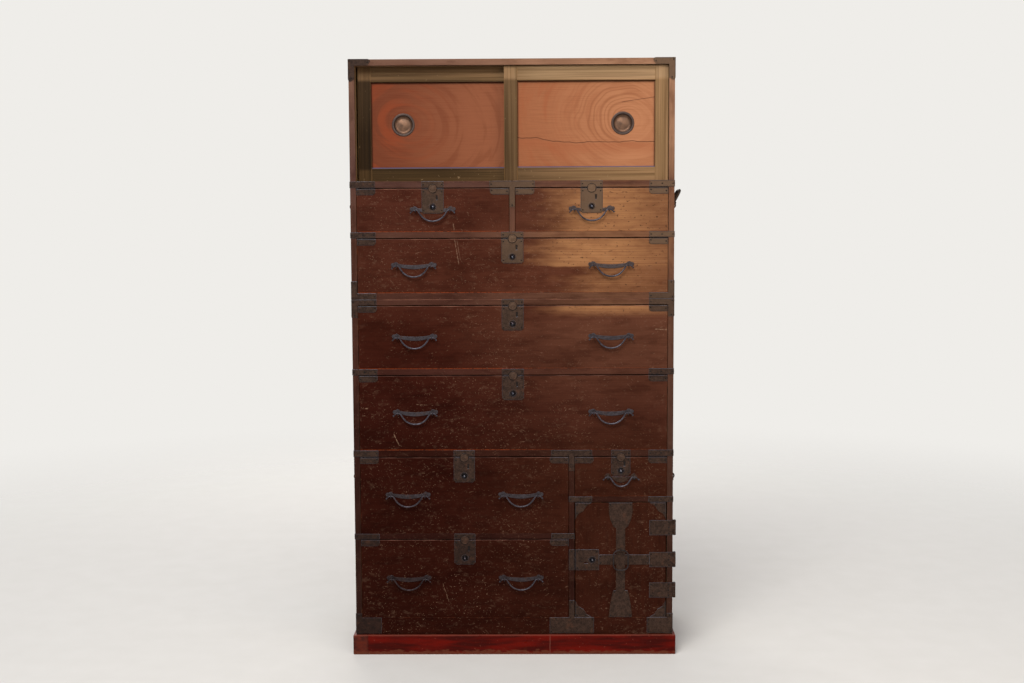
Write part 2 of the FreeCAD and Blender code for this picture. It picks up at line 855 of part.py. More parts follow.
def hinge_case_side(middle):
    """Return a hinge's leaf on the side board with its two barrels, and its pin."""
    low = middle - hinge_height / 2
    high = middle + hinge_height / 2
    edge = hinge_y + knuckle_radius + knuckle_gap
    leaf = box(half_width, half_width + lock_plate, edge, hinge_y + hinge_leaf, low, high)
    bores = []
    for z0, z1 in ((low, low + knuckle_height), (high - knuckle_height, high)):
        barrel, bore = knuckle(z0, z1)
        arm = box(half_width, half_width + lock_plate, hinge_y, edge, z0, z1)
        leaf = leaf.fuse(arm).fuse(barrel)
        bores.append(bore)
    leaf = leaf.cut(Part.makeCompound(bores)).removeSplitter()
    return [leaf, upright_prism(hinge_x, hinge_y, low, high, hinge_pin_radius)]


def hinge_door_side(middle):
    """Return a hinge's strap across the door, carried past the side board to its barrel."""
    low = middle - hinge_height / 2
    high = middle + hinge_height / 2
    z0 = low + knuckle_height + knuckle_gap
    z1 = high - knuckle_height - knuckle_gap
    face = front - lock_plate
    clear = hinge_x - knuckle_radius - knuckle_gap
    barrel, bore = knuckle(z0, z1)
    outline = [at(hinge_strap_left, low), at(clear, low), at(clear, z0), at(hinge_x, z0)]
    outline += [at(hinge_x, z1), at(clear, z1), at(clear, high), at(hinge_strap_left, high)]
    return plate(outline, face + lock_plate, lock_plate).fuse(barrel).cut(bore).removeSplitter()


def door_band():
    """Return the door's upright band, flared at its head and foot, and its crossing arms."""
    half = band_width / 2
    wide = flare_width / 2
    neck = flare_neck_width / 2
    shoulder = flare_shoulder / 2
    straight = door_top - flare_top_straight
    throat = door_top - flare_top_length
    foot = door_bottom + flare_foot_length
    shelf = foot - flare_shoulder_drop
    right = [at(wide, door_top)]
    right += bow(at(wide, straight), at((wide + neck + flare_foot_bulge) / 2, (straight + throat) / 2),
                 at(neck, throat + flare_neck_rise))
    right += [at(half, throat), at(half, foot), at(shoulder - flare_foot_bulge, foot)]
    flank = at((shoulder + wide + flare_foot_bulge) / 2, (shelf + door_bottom) / 2)
    right += bow(at(shoulder, shelf), flank, at(wide, door_bottom))
    left = [at(-point.x, point.z) for point in reversed(right)]
    upright = plate([point + at(band_x, 0) for point in right + left], front, lock_plate)
    arms = box(door_lock_right, hinge_strap_left, front - lock_plate, front,
               band_z - band_height / 2, band_z + band_height / 2)
    return upright.fuse(arms).removeSplitter()


def door_corner(x, z, side, up):
    """Return a door's corner plate, its long side two hollows that meet in a cusp."""
    leg = door_corner_leg
    hollow = door_corner_hollow * math.sqrt(0.5)
    cusp = at(leg / 2, leg / 2)
    outline = [at(0, 0)]
    for start, end in ((at(leg, 0), cusp), (cusp, at(0, leg))):
        outline += bow(start, (start + end) * 0.5 - at(hollow, hollow), end)
    return plate([at(x + side * point.x, z + up * point.z) for point in outline], front, lock_plate)


def door_hollow():
    """Return the mortise behind the door's lock plate."""
    return mortise(door_left + lock_margin, door_lock_right - lock_margin,
                   door_lock_low + lock_margin, door_lock_high - lock_margin)


def hinged_door_wood():
    """Return the door's board, mortised for its lock."""
    board = box(door_left, door_right, front, front + door_board, door_bottom, door_top)
    return board.cut(door_hollow())


def hinged_door_iron():
    """Return the door's bands, hinge straps, corner plates, lock and the ring's eye."""
    solids = [hinge_door_side(middle) for middle in hinge_middles]
    solids.append(door_band())
    for x, side in ((door_left, 1), (door_right, -1)):
        for z, up in ((door_bottom, 1), (door_top, -1)):
            solids.append(door_corner(x, z, side, up))
    face = box(door_left, door_lock_right, front - lock_plate, front, door_lock_low, door_lock_high)
    key_x = door_lock_right - door_key_inset
    key_z = door_lock_high - door_key_drop
    slot = box(key_x - key_slot_height / 2, key_x + key_slot_height / 2, front - overrun,
               front + overrun, key_z - key_slot_width / 2, key_z + key_slot_width / 2)
    solids.append(face.cut(button_hole(door_button_x, band_z)).cut(slot))
    solids.append(lock_body(door_hollow()))
    ring_eye = eye(ring_bar, eye_wall, eye_foot, eye_thickness, bail_standoff, lock_plate)
    ring_eye.translate(vector(band_x, front - bail_standoff, ring_top))
    solids.append(ring_eye)
    return Part.makeCompound(solids)


def door_ring():
    """Return the tall ring pull, hanging from its eye."""
    half = ring_width / 2
    start = at(0, 0)
    points = [start, at(half, 0), at(half, -ring_height), at(-half, -ring_height), at(-half, 0), start]
    shape = bar_along(rounded_path(points, [ring_corner] * 4), ring_bar)
    shape.translate(vector(band_x, front - bail_standoff, ring_top))
    return shape


def turned_form(profile):
    """Return a round solid about the Y axis, cut into facets.

    The profile is a row of pairs of radius and depth that starts and ends on the axis.
    """
    faces = []
    for (r0, y0), (r1, y1) in zip(profile, profile[1:]):
        for index in range(dish_sides):
            corners = []
            for radius, depth, turn in ((r0, y0, 0), (r0, y0, 1), (r1, y1, 1), (r1, y1, 0)):
                angle = 2 * math.pi * (index + turn) / dish_sides
                corner = vector(radius * math.cos(angle), depth, radius * math.sin(angle))
                if corner not in corners:
                    corners.append(corner)
            faces.append(Part.Face(Part.makePolygon(corners + [corners[0]])))
    return Part.Solid(Part.Shell(faces))


class SlidingDoor:
    """One framed sliding door: its left edge, its track and its pull."""

    def __init__(self, left, track_index, dish_x):
        self.x0 = left
        self.x1 = left + sliding_width
        self.middle = sliding_middle(track_index)
        self.y0 = self.middle - sliding_board / 2
        self.y1 = self.middle + sliding_board / 2
        self.z0 = sill_top + track_gap
        self.z1 = head_bottom - head_gap
        self.panel_y = self.y0 + sliding_panel_setback
        self.dish_x = dish_x
        self.dish_z = sill_top + dish_rise

    def panel(self):
        """Return the whole panel, let into the frame all round."""
        lap = sliding_panel_lap
        return box(self.x0 + sliding_stile - lap, self.x1 - sliding_stile + lap,
                   self.panel_y, self.panel_y + sliding_panel,
                   self.z0 + sliding_foot - lap, self.z1 - sliding_head + lap)

    def member(self, x0, x1, z0, z1, foot, head):
        """Return one piece of the frame, with the tongues that it carries below and above."""
        half = tongue / 2
        shape = box(x0, x1, self.y0, self.y1, z0, z1)
        if foot:
            low = sill_top - sill_track_depth + track_gap
            shape = shape.fuse(box(x0, x1, self.middle - half, self.middle + half, low, z0))
        if head:
            high = head_bottom + head_tongue
            shape = shape.fuse(box(x0, x1, self.middle - half, self.middle + half, z1, high))
        return shape.cut(self.panel()).removeSplitter()

    def wood(self):
        """Return the stiles and rails with their tongues, and the panel bored for the pull."""
        inner0 = self.x0 + sliding_stile
        inner1 = self.x1 - sliding_stile
        foot_top = self.z0 + sliding_foot
        head_low = self.z1 - sliding_head
        bore_radius = hole_radius(dish_radius + dish_wall, dish_gap, dish_sides)
        bore = disc(self.dish_x, front + overrun, self.dish_z, bore_radius, 2 * overrun, dish_sides)
        solids = [self.panel().cut(bore)]
        solids.append(self.member(self.x0, inner0, self.z0, self.z1, True, True))
        solids.append(self.member(inner1, self.x1, self.z0, self.z1, True, True))
        solids.append(self.member(inner0, inner1, self.z0, foot_top, True, False))
        solids.append(self.member(inner0, inner1, head_low, self.z1, False, True))
        return Part.makeCompound(solids)

    def dish(self):
        """Return the round recessed pull: a rim, a sloping wall and a domed floor."""
        back = dish_depth + dish_wall
        shape = turned_form([
            (0, dish_depth - dish_dome),
            (dish_dome_radius, dish_depth - dish_dome * dome_share),
            (dish_floor_radius, dish_depth),
            (dish_radius, -dish_rim),
            (dish_rim_radius - dish_rim, -dish_rim),
            (dish_rim_radius, 0),
            (dish_radius + dish_wall, 0),
            (dish_floor_radius + dish_wall, back),
            (0, back),
        ])
        shape.translate(vector(self.dish_x, self.panel_y, self.dish_z))
        return shape


left_door_edge = -inner_half + sliding_ajar
right_door_edge = inner_half - sliding_jamb_gap
sliding_left = SlidingDoor(left_door_edge, 1, left_door_edge + dish_inset)
sliding_right = SlidingDoor(right_door_edge - sliding_width, 0, right_door_edge - dish_inset)


def lower_straps():
    """Return the iron on the lower case: straps, strike plates, hinge leaves, handle seats."""
    stem = (partition_left, partition_right)
    low_plate = low_floor - bottom_plate_height
    tee_left = partition_offset - partition_tee_length / 2
    tee_right = partition_offset + partition_tee_length / 2
    solids = both_sides(corner_strap(lower_top_bottom, seam, drop=stile_strap_rise))
    solids += both_sides(corner_strap(rail_3_bottom, rail_3_top))
    solids += both_sides(corner_strap(rail_4_bottom, rail_4_top))
    solids.append(mirrored(corner_strap(rail_5_bottom, rail_5_top)))
    solids.append(corner_strap(rail_6_bottom, rail_6_top))
    solids += both_sides(corner_strap(low_plate, low_floor, bottom_plate_length, rise=bottom_plate_rise))
    solids.append(tee_strap(partition_offset, partition_tee_length, rail_4_bottom, rail_4_top, stem,
                            0, partition_strap_drop))
    solids.append(strap_plate(tee_left, partition_right, rail_5_bottom, rail_5_top))
    solids.append(strap_plate(partition_left, tee_right, rail_6_bottom, rail_6_top))
    solids.append(tee_strap(partition_offset, middle_plate_length, low_plate, low_floor, stem,
                            partition_strap_rise, 0))
    solids.append(strap_plate(partition_left, partition_right, door_lock_low, door_lock_high))
    solids.append(strike_plate(drawers[3], lower_top_bottom, seam))
    solids.append(strike_plate(drawers[4], rail_3_bottom, rail_3_top))
    solids.append(strike_plate(drawers[5], rail_4_bottom, rail_4_top))
    solids.append(strike_plate(drawers[6], rail_5_bottom, rail_5_top))
    solids.append(strike_plate(drawers[7], rail_4_bottom, rail_4_top))
    for middle in hinge_middles:
        solids += hinge_case_side(middle)
    solids += grip_seats(lower_grip_height)
    return Part.makeCompound(solids)


def upper_straps():
    """Return the iron on the upper case: brackets, straps, strike plates, handle seats."""
    half = divider_board / 2
    solids = both_sides(top_bracket())
    solids += both_sides(corner_strap(sill_bottom, sill_top))
    solids += both_sides(corner_strap(rail_2_bottom, rail_2_top))
    solids += both_sides(corner_strap(seam, upper_floor, rise=stile_strap_rise))
    solids.append(tee_strap(0, middle_strap_length, sill_bottom, sill_top, (-half, half),
                            0, divider_strap_drop))
    solids.append(strike_plate(drawers[0], sill_bottom, sill_top))
    solids.append(strike_plate(drawers[1], sill_bottom, sill_top))
    solids.append(strike_plate(drawers[2], rail_2_bottom, rail_2_top))
    solids += grip_seats(upper_grip_height)
    return Part.makeCompound(solids)


def handles():
    """Return the four carrying handles; the upper right one is turned up."""
    hanging = grip_bail()
    raised = turned(hanging, -grip_raised_angle, vector(1, 0, 0))
    return {
        "upper_handle_left": on_side(hanging, -1, upper_grip_height),
        "upper_handle_right": on_side(raised, 1, upper_grip_height),
        "lower_handle_left": on_side(hanging, -1, lower_grip_height),
        "lower_handle_right": on_side(hanging, 1, lower_grip_height),
    }


def drawer_nodes(drawer):
    """Return the nodes of one drawer."""
    nodes = {
        drawer.name: drawer.wood(),
        drawer.name + "_iron": drawer.iron(),
        drawer.name + "_button": drawer.button(),
    }
    suffixes = ["_pull"] if len(drawer.pulls) == 1 else ["_pull_left", "_pull_right"]
    for suffix, x in zip(suffixes, drawer.pulls):
        nodes[drawer.name + suffix] = drawer.bail(x)
    return nodes


def all_nodes():
    """Return every node of the chest by name."""
    nodes = {
        "plinth_frame": plinth(),
        "lower_side_boards": side_boards(plinth_top, seam, [(lower_top_bottom, seam)]),
        "lower_top_and_bottom": lower_boards(),
        "lower_dividers": lower_dividers(),
        "lower_back_planks": back_planks(plinth_top, seam),
        "lower_case_iron": lower_straps(),
        "upper_side_boards": side_boards(seam, case_top, [(seam, upper_floor), (head_bottom, case_top)]),
        "upper_top_and_bottom": upper_boards(),
        "upper_dividers": upper_dividers(),
        "upper_back_planks": back_planks(seam, case_top),
        "upper_case_iron": upper_straps(),
        "sliding_door_left": sliding_left.wood(),
        "sliding_door_left_pull": sliding_left.dish(),
        "sliding_door_right": sliding_right.wood(),
        "sliding_door_right_pull": sliding_right.dish(),
        "hinged_door": hinged_door_wood(),
        "hinged_door_iron": hinged_door_iron(),
        "hinged_door_button": push_button(door_button_x, band_z),
        "hinged_door_ring": door_ring(),
    }
    for drawer in drawers:
        nodes.update(drawer_nodes(drawer))
    nodes.update(handles())
    return nodes


os.makedirs("parts", exist_ok=True)
for node_name, node_shape in all_nodes().items():
    node_shape.exportStep("parts/" + node_name + ".step")
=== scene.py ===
"""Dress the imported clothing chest: worn lacquer, forged iron, aged cypress and bare boards.

Lengths are millimetres until a piece is handed over, and the front faces -Y.
"""

import logging
import math
from collections.abc import Callable, Iterable, Mapping, Sequence
from dataclasses import dataclass
from enum import Enum
from typing import Any

import bmesh
import bpy
from mathutils import Matrix, Vector


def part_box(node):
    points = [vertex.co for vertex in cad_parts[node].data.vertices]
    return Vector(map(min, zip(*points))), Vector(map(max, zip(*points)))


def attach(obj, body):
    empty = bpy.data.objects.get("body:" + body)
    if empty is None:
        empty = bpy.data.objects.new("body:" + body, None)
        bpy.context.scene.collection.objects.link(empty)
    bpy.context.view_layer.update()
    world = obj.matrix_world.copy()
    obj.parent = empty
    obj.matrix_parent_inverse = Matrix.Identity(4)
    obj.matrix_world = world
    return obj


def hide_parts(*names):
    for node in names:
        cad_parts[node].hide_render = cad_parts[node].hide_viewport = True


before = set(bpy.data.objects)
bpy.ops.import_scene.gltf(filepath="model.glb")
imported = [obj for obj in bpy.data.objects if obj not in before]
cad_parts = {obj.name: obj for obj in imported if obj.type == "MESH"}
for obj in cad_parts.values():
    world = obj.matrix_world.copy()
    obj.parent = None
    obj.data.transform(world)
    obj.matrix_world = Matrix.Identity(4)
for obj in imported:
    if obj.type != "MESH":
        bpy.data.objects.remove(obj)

LOG = logging.getLogger("chest")
METRE = 1000.0
PHOTO_WIDTH = 1024
BUMP_STRENGTH = 0.6
# The bevel of boards inside the chest.
EASED_INSIDE = 0.6
# Points nearer than this are one point, and edges that turn less or more than these are flat or sharp.
TOUCHING = 0.01
FLAT = math.radians(1)
SHARP = math.radians(28)
# A face of at least this area takes nails, and two nails farther apart than this get a third between them.
SMALLEST_NAILED = 120.0
NAIL_ROW = 50.0
Colour = tuple[float, float, float, float]
Span = tuple[float, float]
Vert, Edge, Face = bmesh.types.BMVert, bmesh.types.BMEdge, bmesh.types.BMFace


class Way(Enum):
    """A direction in the chest's frame."""

    RIGHT = Vector((1, 0, 0))
    LEFT = Vector((-1, 0, 0))
    FRONT = Vector((0, -1, 0))
    REAR = Vector((0, 1, 0))
    UP = Vector((0, 0, 1))
    DOWN = Vector((0, 0, -1))


class PullStyle(Enum):
    """The plate behind a drawer's bail."""

    MOUSTACHE = "moustache"
    HALF_MOON = "half moon"


def paint(red: float, green: float, blue: float) -> Colour:
    """Turn a display colour, its shares from 0 to 255, into a linear one with full alpha."""
    shares = (level / 255.0 for level in (red, green, blue))
    return (*(s / 12.92 if s <= 0.04045 else ((s + 0.055) / 1.055) ** 2.4 for s in shares), 1.0)


def limits(node: str) -> tuple[Vector, Vector]:
    """Return a CAD node's lowest and highest corners in millimetres."""
    low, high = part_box(node)
    return low * METRE, high * METRE


def put_in_scene(name: str, data: Any) -> bpy.types.Object:
    """Put a mesh, a light or a camera into the scene and return its object."""
    thing = bpy.data.objects.new(name, data)
    bpy.context.scene.collection.objects.link(thing)
    return thing


def middle_of(node: str) -> Vector:
    """Return the middle of a CAD node's box in millimetres."""
    low, high = limits(node)
    return (low + high) / 2


def hang_point(node: str, bar: float) -> Vector:
    """Return the middle between a hanging bar's eyes, half the bar's thickness under its top."""
    middle = middle_of(node)
    return Vector((middle.x, middle.y, limits(node)[1].z - bar / 2))


def ball(radius: float, steps: int = 8) -> list[Span]:
    """Return a ball's profile for the lathe."""
    angles = [math.pi * step / steps for step in range(steps + 1)]
    return [(radius * math.sin(angle), -radius * math.cos(angle)) for angle in angles]


def keep_all(low: Vector, high: Vector) -> bool:
    """Leave none of a node's solids out."""
    return False


def arc(start: Vector, middle: Vector, end: Vector, steps: int) -> list[Vector]:
    """Cut an arc through three points of the XZ plane into points.

    Args:
        start: First point.
        middle: A point between.
        end: Last point.
        steps: How many pieces the arc is cut into.

    Returns:
        The points, both ends among them.
    """
    ax, az = start.x - end.x, start.z - end.z
    bx, bz = middle.x - end.x, middle.z - end.z
    cross = 2 * (ax * bz - az * bx)
    aa, bb = ax * ax + az * az, bx * bx + bz * bz
    centre = Vector((end.x + (bz * aa - az * bb) / cross, 0, end.z + (ax * bb - bx * aa) / cross))
    spokes = [point - centre for point in (start, middle, end)]
    turns = [math.atan2(spoke.z, spoke.x) for spoke in spokes]
    total = (turns[2] - turns[0]) % math.tau
    if (turns[1] - turns[0]) % math.tau > total:
        total -= math.tau
    radius = spokes[0].length
    angles = [turns[0] + total * step / steps for step in range(steps + 1)]
    return [centre + Vector((radius * math.cos(a), 0, radius * math.sin(a))) for a in angles]


def rounded(points: Sequence[Vector], radii: Sequence[float], step: float = 9.0) -> list[Vector]:
    """Round the inner corners of a path in the XZ plane.

    Args:
        points: The path's corners.
        radii: A radius for every corner but the first and the last.
        step: Degrees that one piece of an arc turns.

    Returns:
        The path's points.
    """
    path = [points[0]]
    for index, radius in enumerate(radii):
        corner = points[index + 1]
        incoming = (corner - points[index]).normalized()
        outgoing = (points[index + 2] - corner).normalized()
        half_turn = incoming.angle(outgoing) / 2
        reach = radius * math.tan(half_turn)
        inward = (outgoing - incoming).normalized()
        middle = corner + inward * (radius / math.cos(half_turn) - radius)
        steps = max(2, round(math.degrees(half_turn) * 2 / step))
        path += arc(corner - incoming * reach, middle, corner + outgoing * reach, steps)
    path.append(points[-1])
    return path


def at(x: float, z: float) -> Vector:
    """Return a point of the XZ plane."""
    return Vector((x, 0, z))


def edges_of(verts: Iterable[Vert]) -> list[Edge]:
    """Return the edges at some points, in an order that is the same in each run."""
    return list(dict.fromkeys(edge for vert in verts for edge in vert.link_edges))


def faces_of(verts: Iterable[Vert]) -> list[Face]:
    """Return the faces at some points, in an order that is the same in each run."""
    return list(dict.fromkeys(face for vert in verts for face in vert.link_faces))


def verts_in(items: Iterable[Any]) -> list[Vert]:
    """Return the points among what an operator made."""
    return [item for item in items if isinstance(item, Vert)]


def extent(verts: Sequence[Vert]) -> tuple[Vector, Vector]:
    """Return the lowest and highest corners of some points."""
    low = Vector(min(vert.co[axis] for vert in verts) for axis in range(3))
    high = Vector(max(vert.co[axis] for vert in verts) for axis in range(3))
    return low, high


def grow(seed: Vert) -> list[Vert]:
    """Return a point and all that hang together with it.

    Args:
        seed: The point to start from.

    Returns:
        The points, nearest first.
    """
    found = {seed: None}
    todo = [seed]
    for vert in todo:
        beside = [edge.other_vert(vert) for edge in vert.link_edges]
        todo += [other for other in beside if other not in found]
        found.update(dict.fromkeys(beside))
    return list(found)


class Signal:
    """An output socket of a shader, with arithmetic that adds Math nodes."""

    def __init__(self, shader: "Shader", socket: bpy.types.NodeSocket) -> None:
        """Hold a socket and the shader that it belongs to."""
        self.shader = shader
        self.socket = socket

    def math(self, operation: str, *values: Any) -> "Signal":
        """Return a Math node's result for some values."""
        return self.shader.add("ShaderNodeMath", {"operation": operation}, dict(enumerate(values)))

    def __add__(self, other: Any) -> "Signal":
        """Return the sum."""
        return self.math("ADD", self, other)

    def __sub__(self, other: Any) -> "Signal":
        """Return the difference."""
        return self.math("SUBTRACT", self, other)

    def __rsub__(self, other: Any) -> "Signal":
        """Return the difference from another value."""
        return self.math("SUBTRACT", other, self)

    def __mul__(self, other: Any) -> "Signal":
        """Return the product."""
        return self.math("MULTIPLY", self, other)

    def __truediv__(self, other: Any) -> "Signal":
        """Return the quotient."""
        return self.math("DIVIDE", self, other)

    def __pow__(self, other: Any) -> "Signal":
        """Return the power."""
        return self.math("POWER", self, other)

    def __abs__(self) -> "Signal":
        """Return the size without its sign."""
        return self.math("ABSOLUTE", self)

    __radd__ = __add__
    __rmul__ = __mul__

    def least(self, other: Any) -> "Signal":
        """Return the lesser of two values."""
        return self.math("MINIMUM", self, other)

    def most(self, other: Any) -> "Signal":
        """Return the greater of two values."""
        return self.math("MAXIMUM", self, other)

    def under(self, share: Any, colour: Any) -> "Signal":
        """Return this colour with another laid over it as far as the share says."""
        return self.shader.blend(share, self, colour)

    def sine(self) -> "Signal":
        """Return the sine."""
        return self.math("SINE", self)

    def rise(self, start: float, end: float) -> "Signal":
        """Return a smooth step from 0 at the start to 1 at the end, which may be the lower one."""
        values = {"Value": self, "From Min": start, "From Max": end}
        return self.shader.add("ShaderNodeMapRange", {"interpolation_type": "SMOOTHSTEP"}, values)


class Shader:
    """A material's node tree with one Principled surface."""

    def __init__(self, name: str) -> None:
        """Make an empty material."""
        self.material = bpy.data.materials.new(name)
        self.material.use_nodes = True
        self.tree = self.material.node_tree
        self.surface = self.tree.nodes["Principled BSDF"]

    def add(self, kind: str, settings: Mapping[str, Any], values: Mapping[Any, Any],
            output: Any = 0) -> Signal:
        """Add a node.

        Args:
            kind: The node's type.
            settings: Its settings, set first; "stops" holds a ramp's places and colours.
            values: Values or signals by the name or number of the input socket.
            output: The name or number of the output socket.

        Returns:
            The output socket's signal.
        """
        node = self.tree.nodes.new(kind)
        for name, value in settings.items():
            if name == "stops":
                for index, (place, colour) in enumerate(value):
                    ramp = node.color_ramp.elements
                    stop = ramp[index] if index < len(ramp) else ramp.new(place)
                    stop.position, stop.color = place, colour
            else:
                setattr(node, name, value)
        for name, value in values.items():
            self.feed(node.inputs[name], value)
        return Signal(self, node.outputs[output])

    def feed(self, socket: bpy.types.NodeSocket, value: Any) -> None:
        """Link a signal to a socket, or set a plain value on it."""
        if isinstance(value, Signal):
            self.tree.links.new(value.socket, socket)
        else:
            socket.default_value = value

    def place(self) -> Signal:
        """Return the point on the chest, in millimetres."""
        spot = self.add("ShaderNodeTexCoord", {}, {}, "Object")
        return self.stretch(spot, (METRE, METRE, METRE))

    def attribute(self, name: str, output: str = "Vector") -> Signal:
        """Return an attribute of the piece."""
        return self.add("ShaderNodeAttribute", {"attribute_name": name}, {}, output)

    def stretch(self, vector: Signal, factors: tuple[float, float, float]) -> Signal:
        """Return a vector times three factors."""
        return self.add("ShaderNodeVectorMath", {"operation": "MULTIPLY"}, {0: vector, 1: factors})

    def split(self, vector: Signal) -> tuple[Signal, Signal, Signal]:
        """Return a vector's three parts."""
        x = self.add("ShaderNodeSeparateXYZ", {}, {0: vector}, 0)
        return x, Signal(self, x.socket.node.outputs[1]), Signal(self, x.socket.node.outputs[2])

    def join(self, x: Any, y: Any, z: Any) -> Signal:
        """Return a vector of three parts."""
        return self.add("ShaderNodeCombineXYZ", {}, {0: x, 1: y, 2: z})

    def noise(self, vector: Signal, scale: float, detail: float = 2.0, seed: Any = 0.0,
              swirl: float = 0.0) -> Signal:
        """Return noise of about 0.2 to 0.8; another seed gives another pattern."""
        values = {"Vector": vector, "W": seed, "Scale": scale, "Detail": detail, "Distortion": swirl}
        return self.add("ShaderNodeTexNoise", {"noise_dimensions": "4D"}, values)

    def streaks(self, vector: Signal, scales: tuple[float, float, float], detail: float,
                seed: Any = 0.0) -> Signal:
        """Return noise drawn out along the axes, by its cells per millimetre along each."""
        return self.noise(self.stretch(vector, scales), 1.0, detail, seed)

    def board(self) -> tuple[Signal, Signal]:
        """Return the place on a board, along its grain first, and the board's own number."""
        return self.attribute("grain_place"), self.attribute("grain_seed", "Fac")

    def blend(self, share: Any, first: Any, second: Any, kind: str = "MIX") -> Signal:
        """Return two colours blended, with as much of the second as the share says."""
        settings = {"data_type": "RGBA", "blend_type": kind}
        return self.add("ShaderNodeMix", settings, {0: share, 6: first, 7: second}, 2)

    def tint(self, share: Any, base: Signal, colour: Colour) -> Signal:
        """Return a colour that is multiplied by another as far as the share says."""
        return self.blend(share, base, self.blend(1.0, base, colour, "MULTIPLY"))

    def bump(self, height: Signal, depth: float) -> Signal:
        """Return a normal for a height from 0 to 1 that stands for a depth in millimetres."""
        values = {"Height": height, "Distance": depth / METRE, "Strength": BUMP_STRENGTH}
        return self.add("ShaderNodeBump", {}, values)

    def edge(self) -> Signal:
        """Return the distance to the nearest edge of a board, in millimetres."""
        spot = self.add("ShaderNodeVectorMath", {"operation": "ABSOLUTE"}, {0: self.attribute("grain_place")})
        inset = {0: self.attribute("grain_half"), 1: spot}
        a, b, c = self.split(self.add("ShaderNodeVectorMath", {"operation": "SUBTRACT"}, inset))
        return a.least(b).most(a.most(b).least(c))

    def dress(self, values: Mapping[str, Any]) -> bpy.types.Material:
        """Feed the surface's sockets and return the material."""
        for name, value in values.items():
            self.feed(self.surface.inputs[name], value)
        return self.material


def dashes(shader: Shader, place: Signal, angle: float, seed: float) -> Signal:
    """Return short fine scratches in one direction.

    Args:
        shader: The shader they are drawn in.
        place: The point on the chest.
        angle: Their slope in degrees.
        seed: What makes one set differ from another.

    Returns:
        1 on a scratch and 0 beside it.
    """
    turned = shader.add("ShaderNodeVectorRotate", {"rotation_type": "Y_AXIS"},
                        {"Vector": place, "Angle": math.radians(angle)})
    fine = shader.streaks(turned, (0.11, 0.3, 0.5), 0.0, seed).rise(0.745, 0.79)
    gate = shader.noise(turned, 0.02, 1.0, seed + 4.0).rise(0.5, 0.62)
    return fine * gate


@dataclass(frozen=True)
class Gouge:
    """A single long scratch on the front, from one point to another."""

    start: Span
    end: Span
    width: float
    strength: float = 1.0

    def mask(self, x: Signal, z: Signal) -> Signal:
        """Return 1 on the scratch and 0 beside it.

        Args:
            x: The point's place across.
            z: The point's height.

        Returns:
            The mask, times the scratch's strength.
        """
        run = (self.end[0] - self.start[0], self.end[1] - self.start[1])
        length = math.hypot(*run)
        ahead = (run[0] / length, run[1] / length)
        dx, dz = x - self.start[0], z - self.start[1]
        side = abs(dx * -ahead[1] + dz * ahead[0])
        past = abs(dx * ahead[0] + dz * ahead[1] - length / 2)
        return side.rise(self.width, self.width * 0.4) * past.rise(length / 2, length * 0.4) * self.strength


@dataclass(frozen=True)
class Tones:
    """Colours by height on the chest, as pairs of a height and a colour."""

    stops: tuple[tuple[float, Colour], ...]
    tallest: float = 1700.0

    def read(self, shader: Shader, z: Signal) -> Signal:
        """Return the colour at a height."""
        stops = [(height / self.tallest, colour) for height, colour in self.stops]
        return shader.add("ShaderNodeValToRGB", {"stops": stops}, {0: z / self.tallest}, 0)


def tones(levels: Mapping[float, tuple[float, float, float]]) -> Tones:
    """Return the tones for display colours by height."""
    return Tones(tuple((height, paint(*colour)) for height, colour in levels.items()))


@dataclass(frozen=True)
class WornSheenArea:
    """The upper right of the front, golden from the small drawers down to a strip: partly lacquer rubbed
    through, partly a painted warm sheen.

    Each span runs from the place where its effect is nothing to the place where it is full.
    """

    strength: float = 1.0
    strip: float = 0.5
    rightward: Span = (205.0, 400.0)
    fading: Span = (260.0, 450.0)
    head: Span = (1345.0, 1335.0)
    small_drawers: Span = (1210.0, 1215.0)
    upper_half: Span = (1114.0, 1121.0)
    corner_head: Span = (1100.0, 1085.0)
    corner_foot: Span = (1005.0, 1030.0)
    below_joint: Span = (1030.0, 1000.0)
    strip_head: Span = (1030.0, 1005.0)
    strip_foot: Span = (966.0, 1000.0)

    def share(self, s: Shader, place: Signal, x: Signal, z: Signal) -> Signal:
        """Return how far the lacquer is golden, with wear and with painted sheen.

        Args:
            s: The shader.
            place: The point on the chest.
            x: The point's place across.
            z: The point's height.

        Returns:
            The share of gold, 0 to 1.
        """
        ragged = s.streaks(place, (0.014, 0.02, 0.05), 4.0, 3.0)
        streaks = s.streaks(place, (0.004, 0.02, 0.12), 3.0, 12.0)
        upper = (z + ragged * 8.0).rise(*self.upper_half)
        shift = upper * 120.0 - z.rise(*self.small_drawers) * 40.0 + z.rise(*self.below_joint) * 90.0
        shift = shift + z.rise(*self.corner_head) * z.rise(*self.corner_foot) * 40.0
        right = (x + ragged * 150.0 + shift).rise(*self.rightward)
        strip = z.rise(*self.strip_foot) * (z.rise(*self.strip_head) * 0.7 + 1.0) * self.strip
        level = (strip + upper * 0.3) * z.rise(*self.head)
        return right * level * (0.88 + streaks * 0.24) * (1 - x.rise(*self.fading) * 0.5) * self.strength


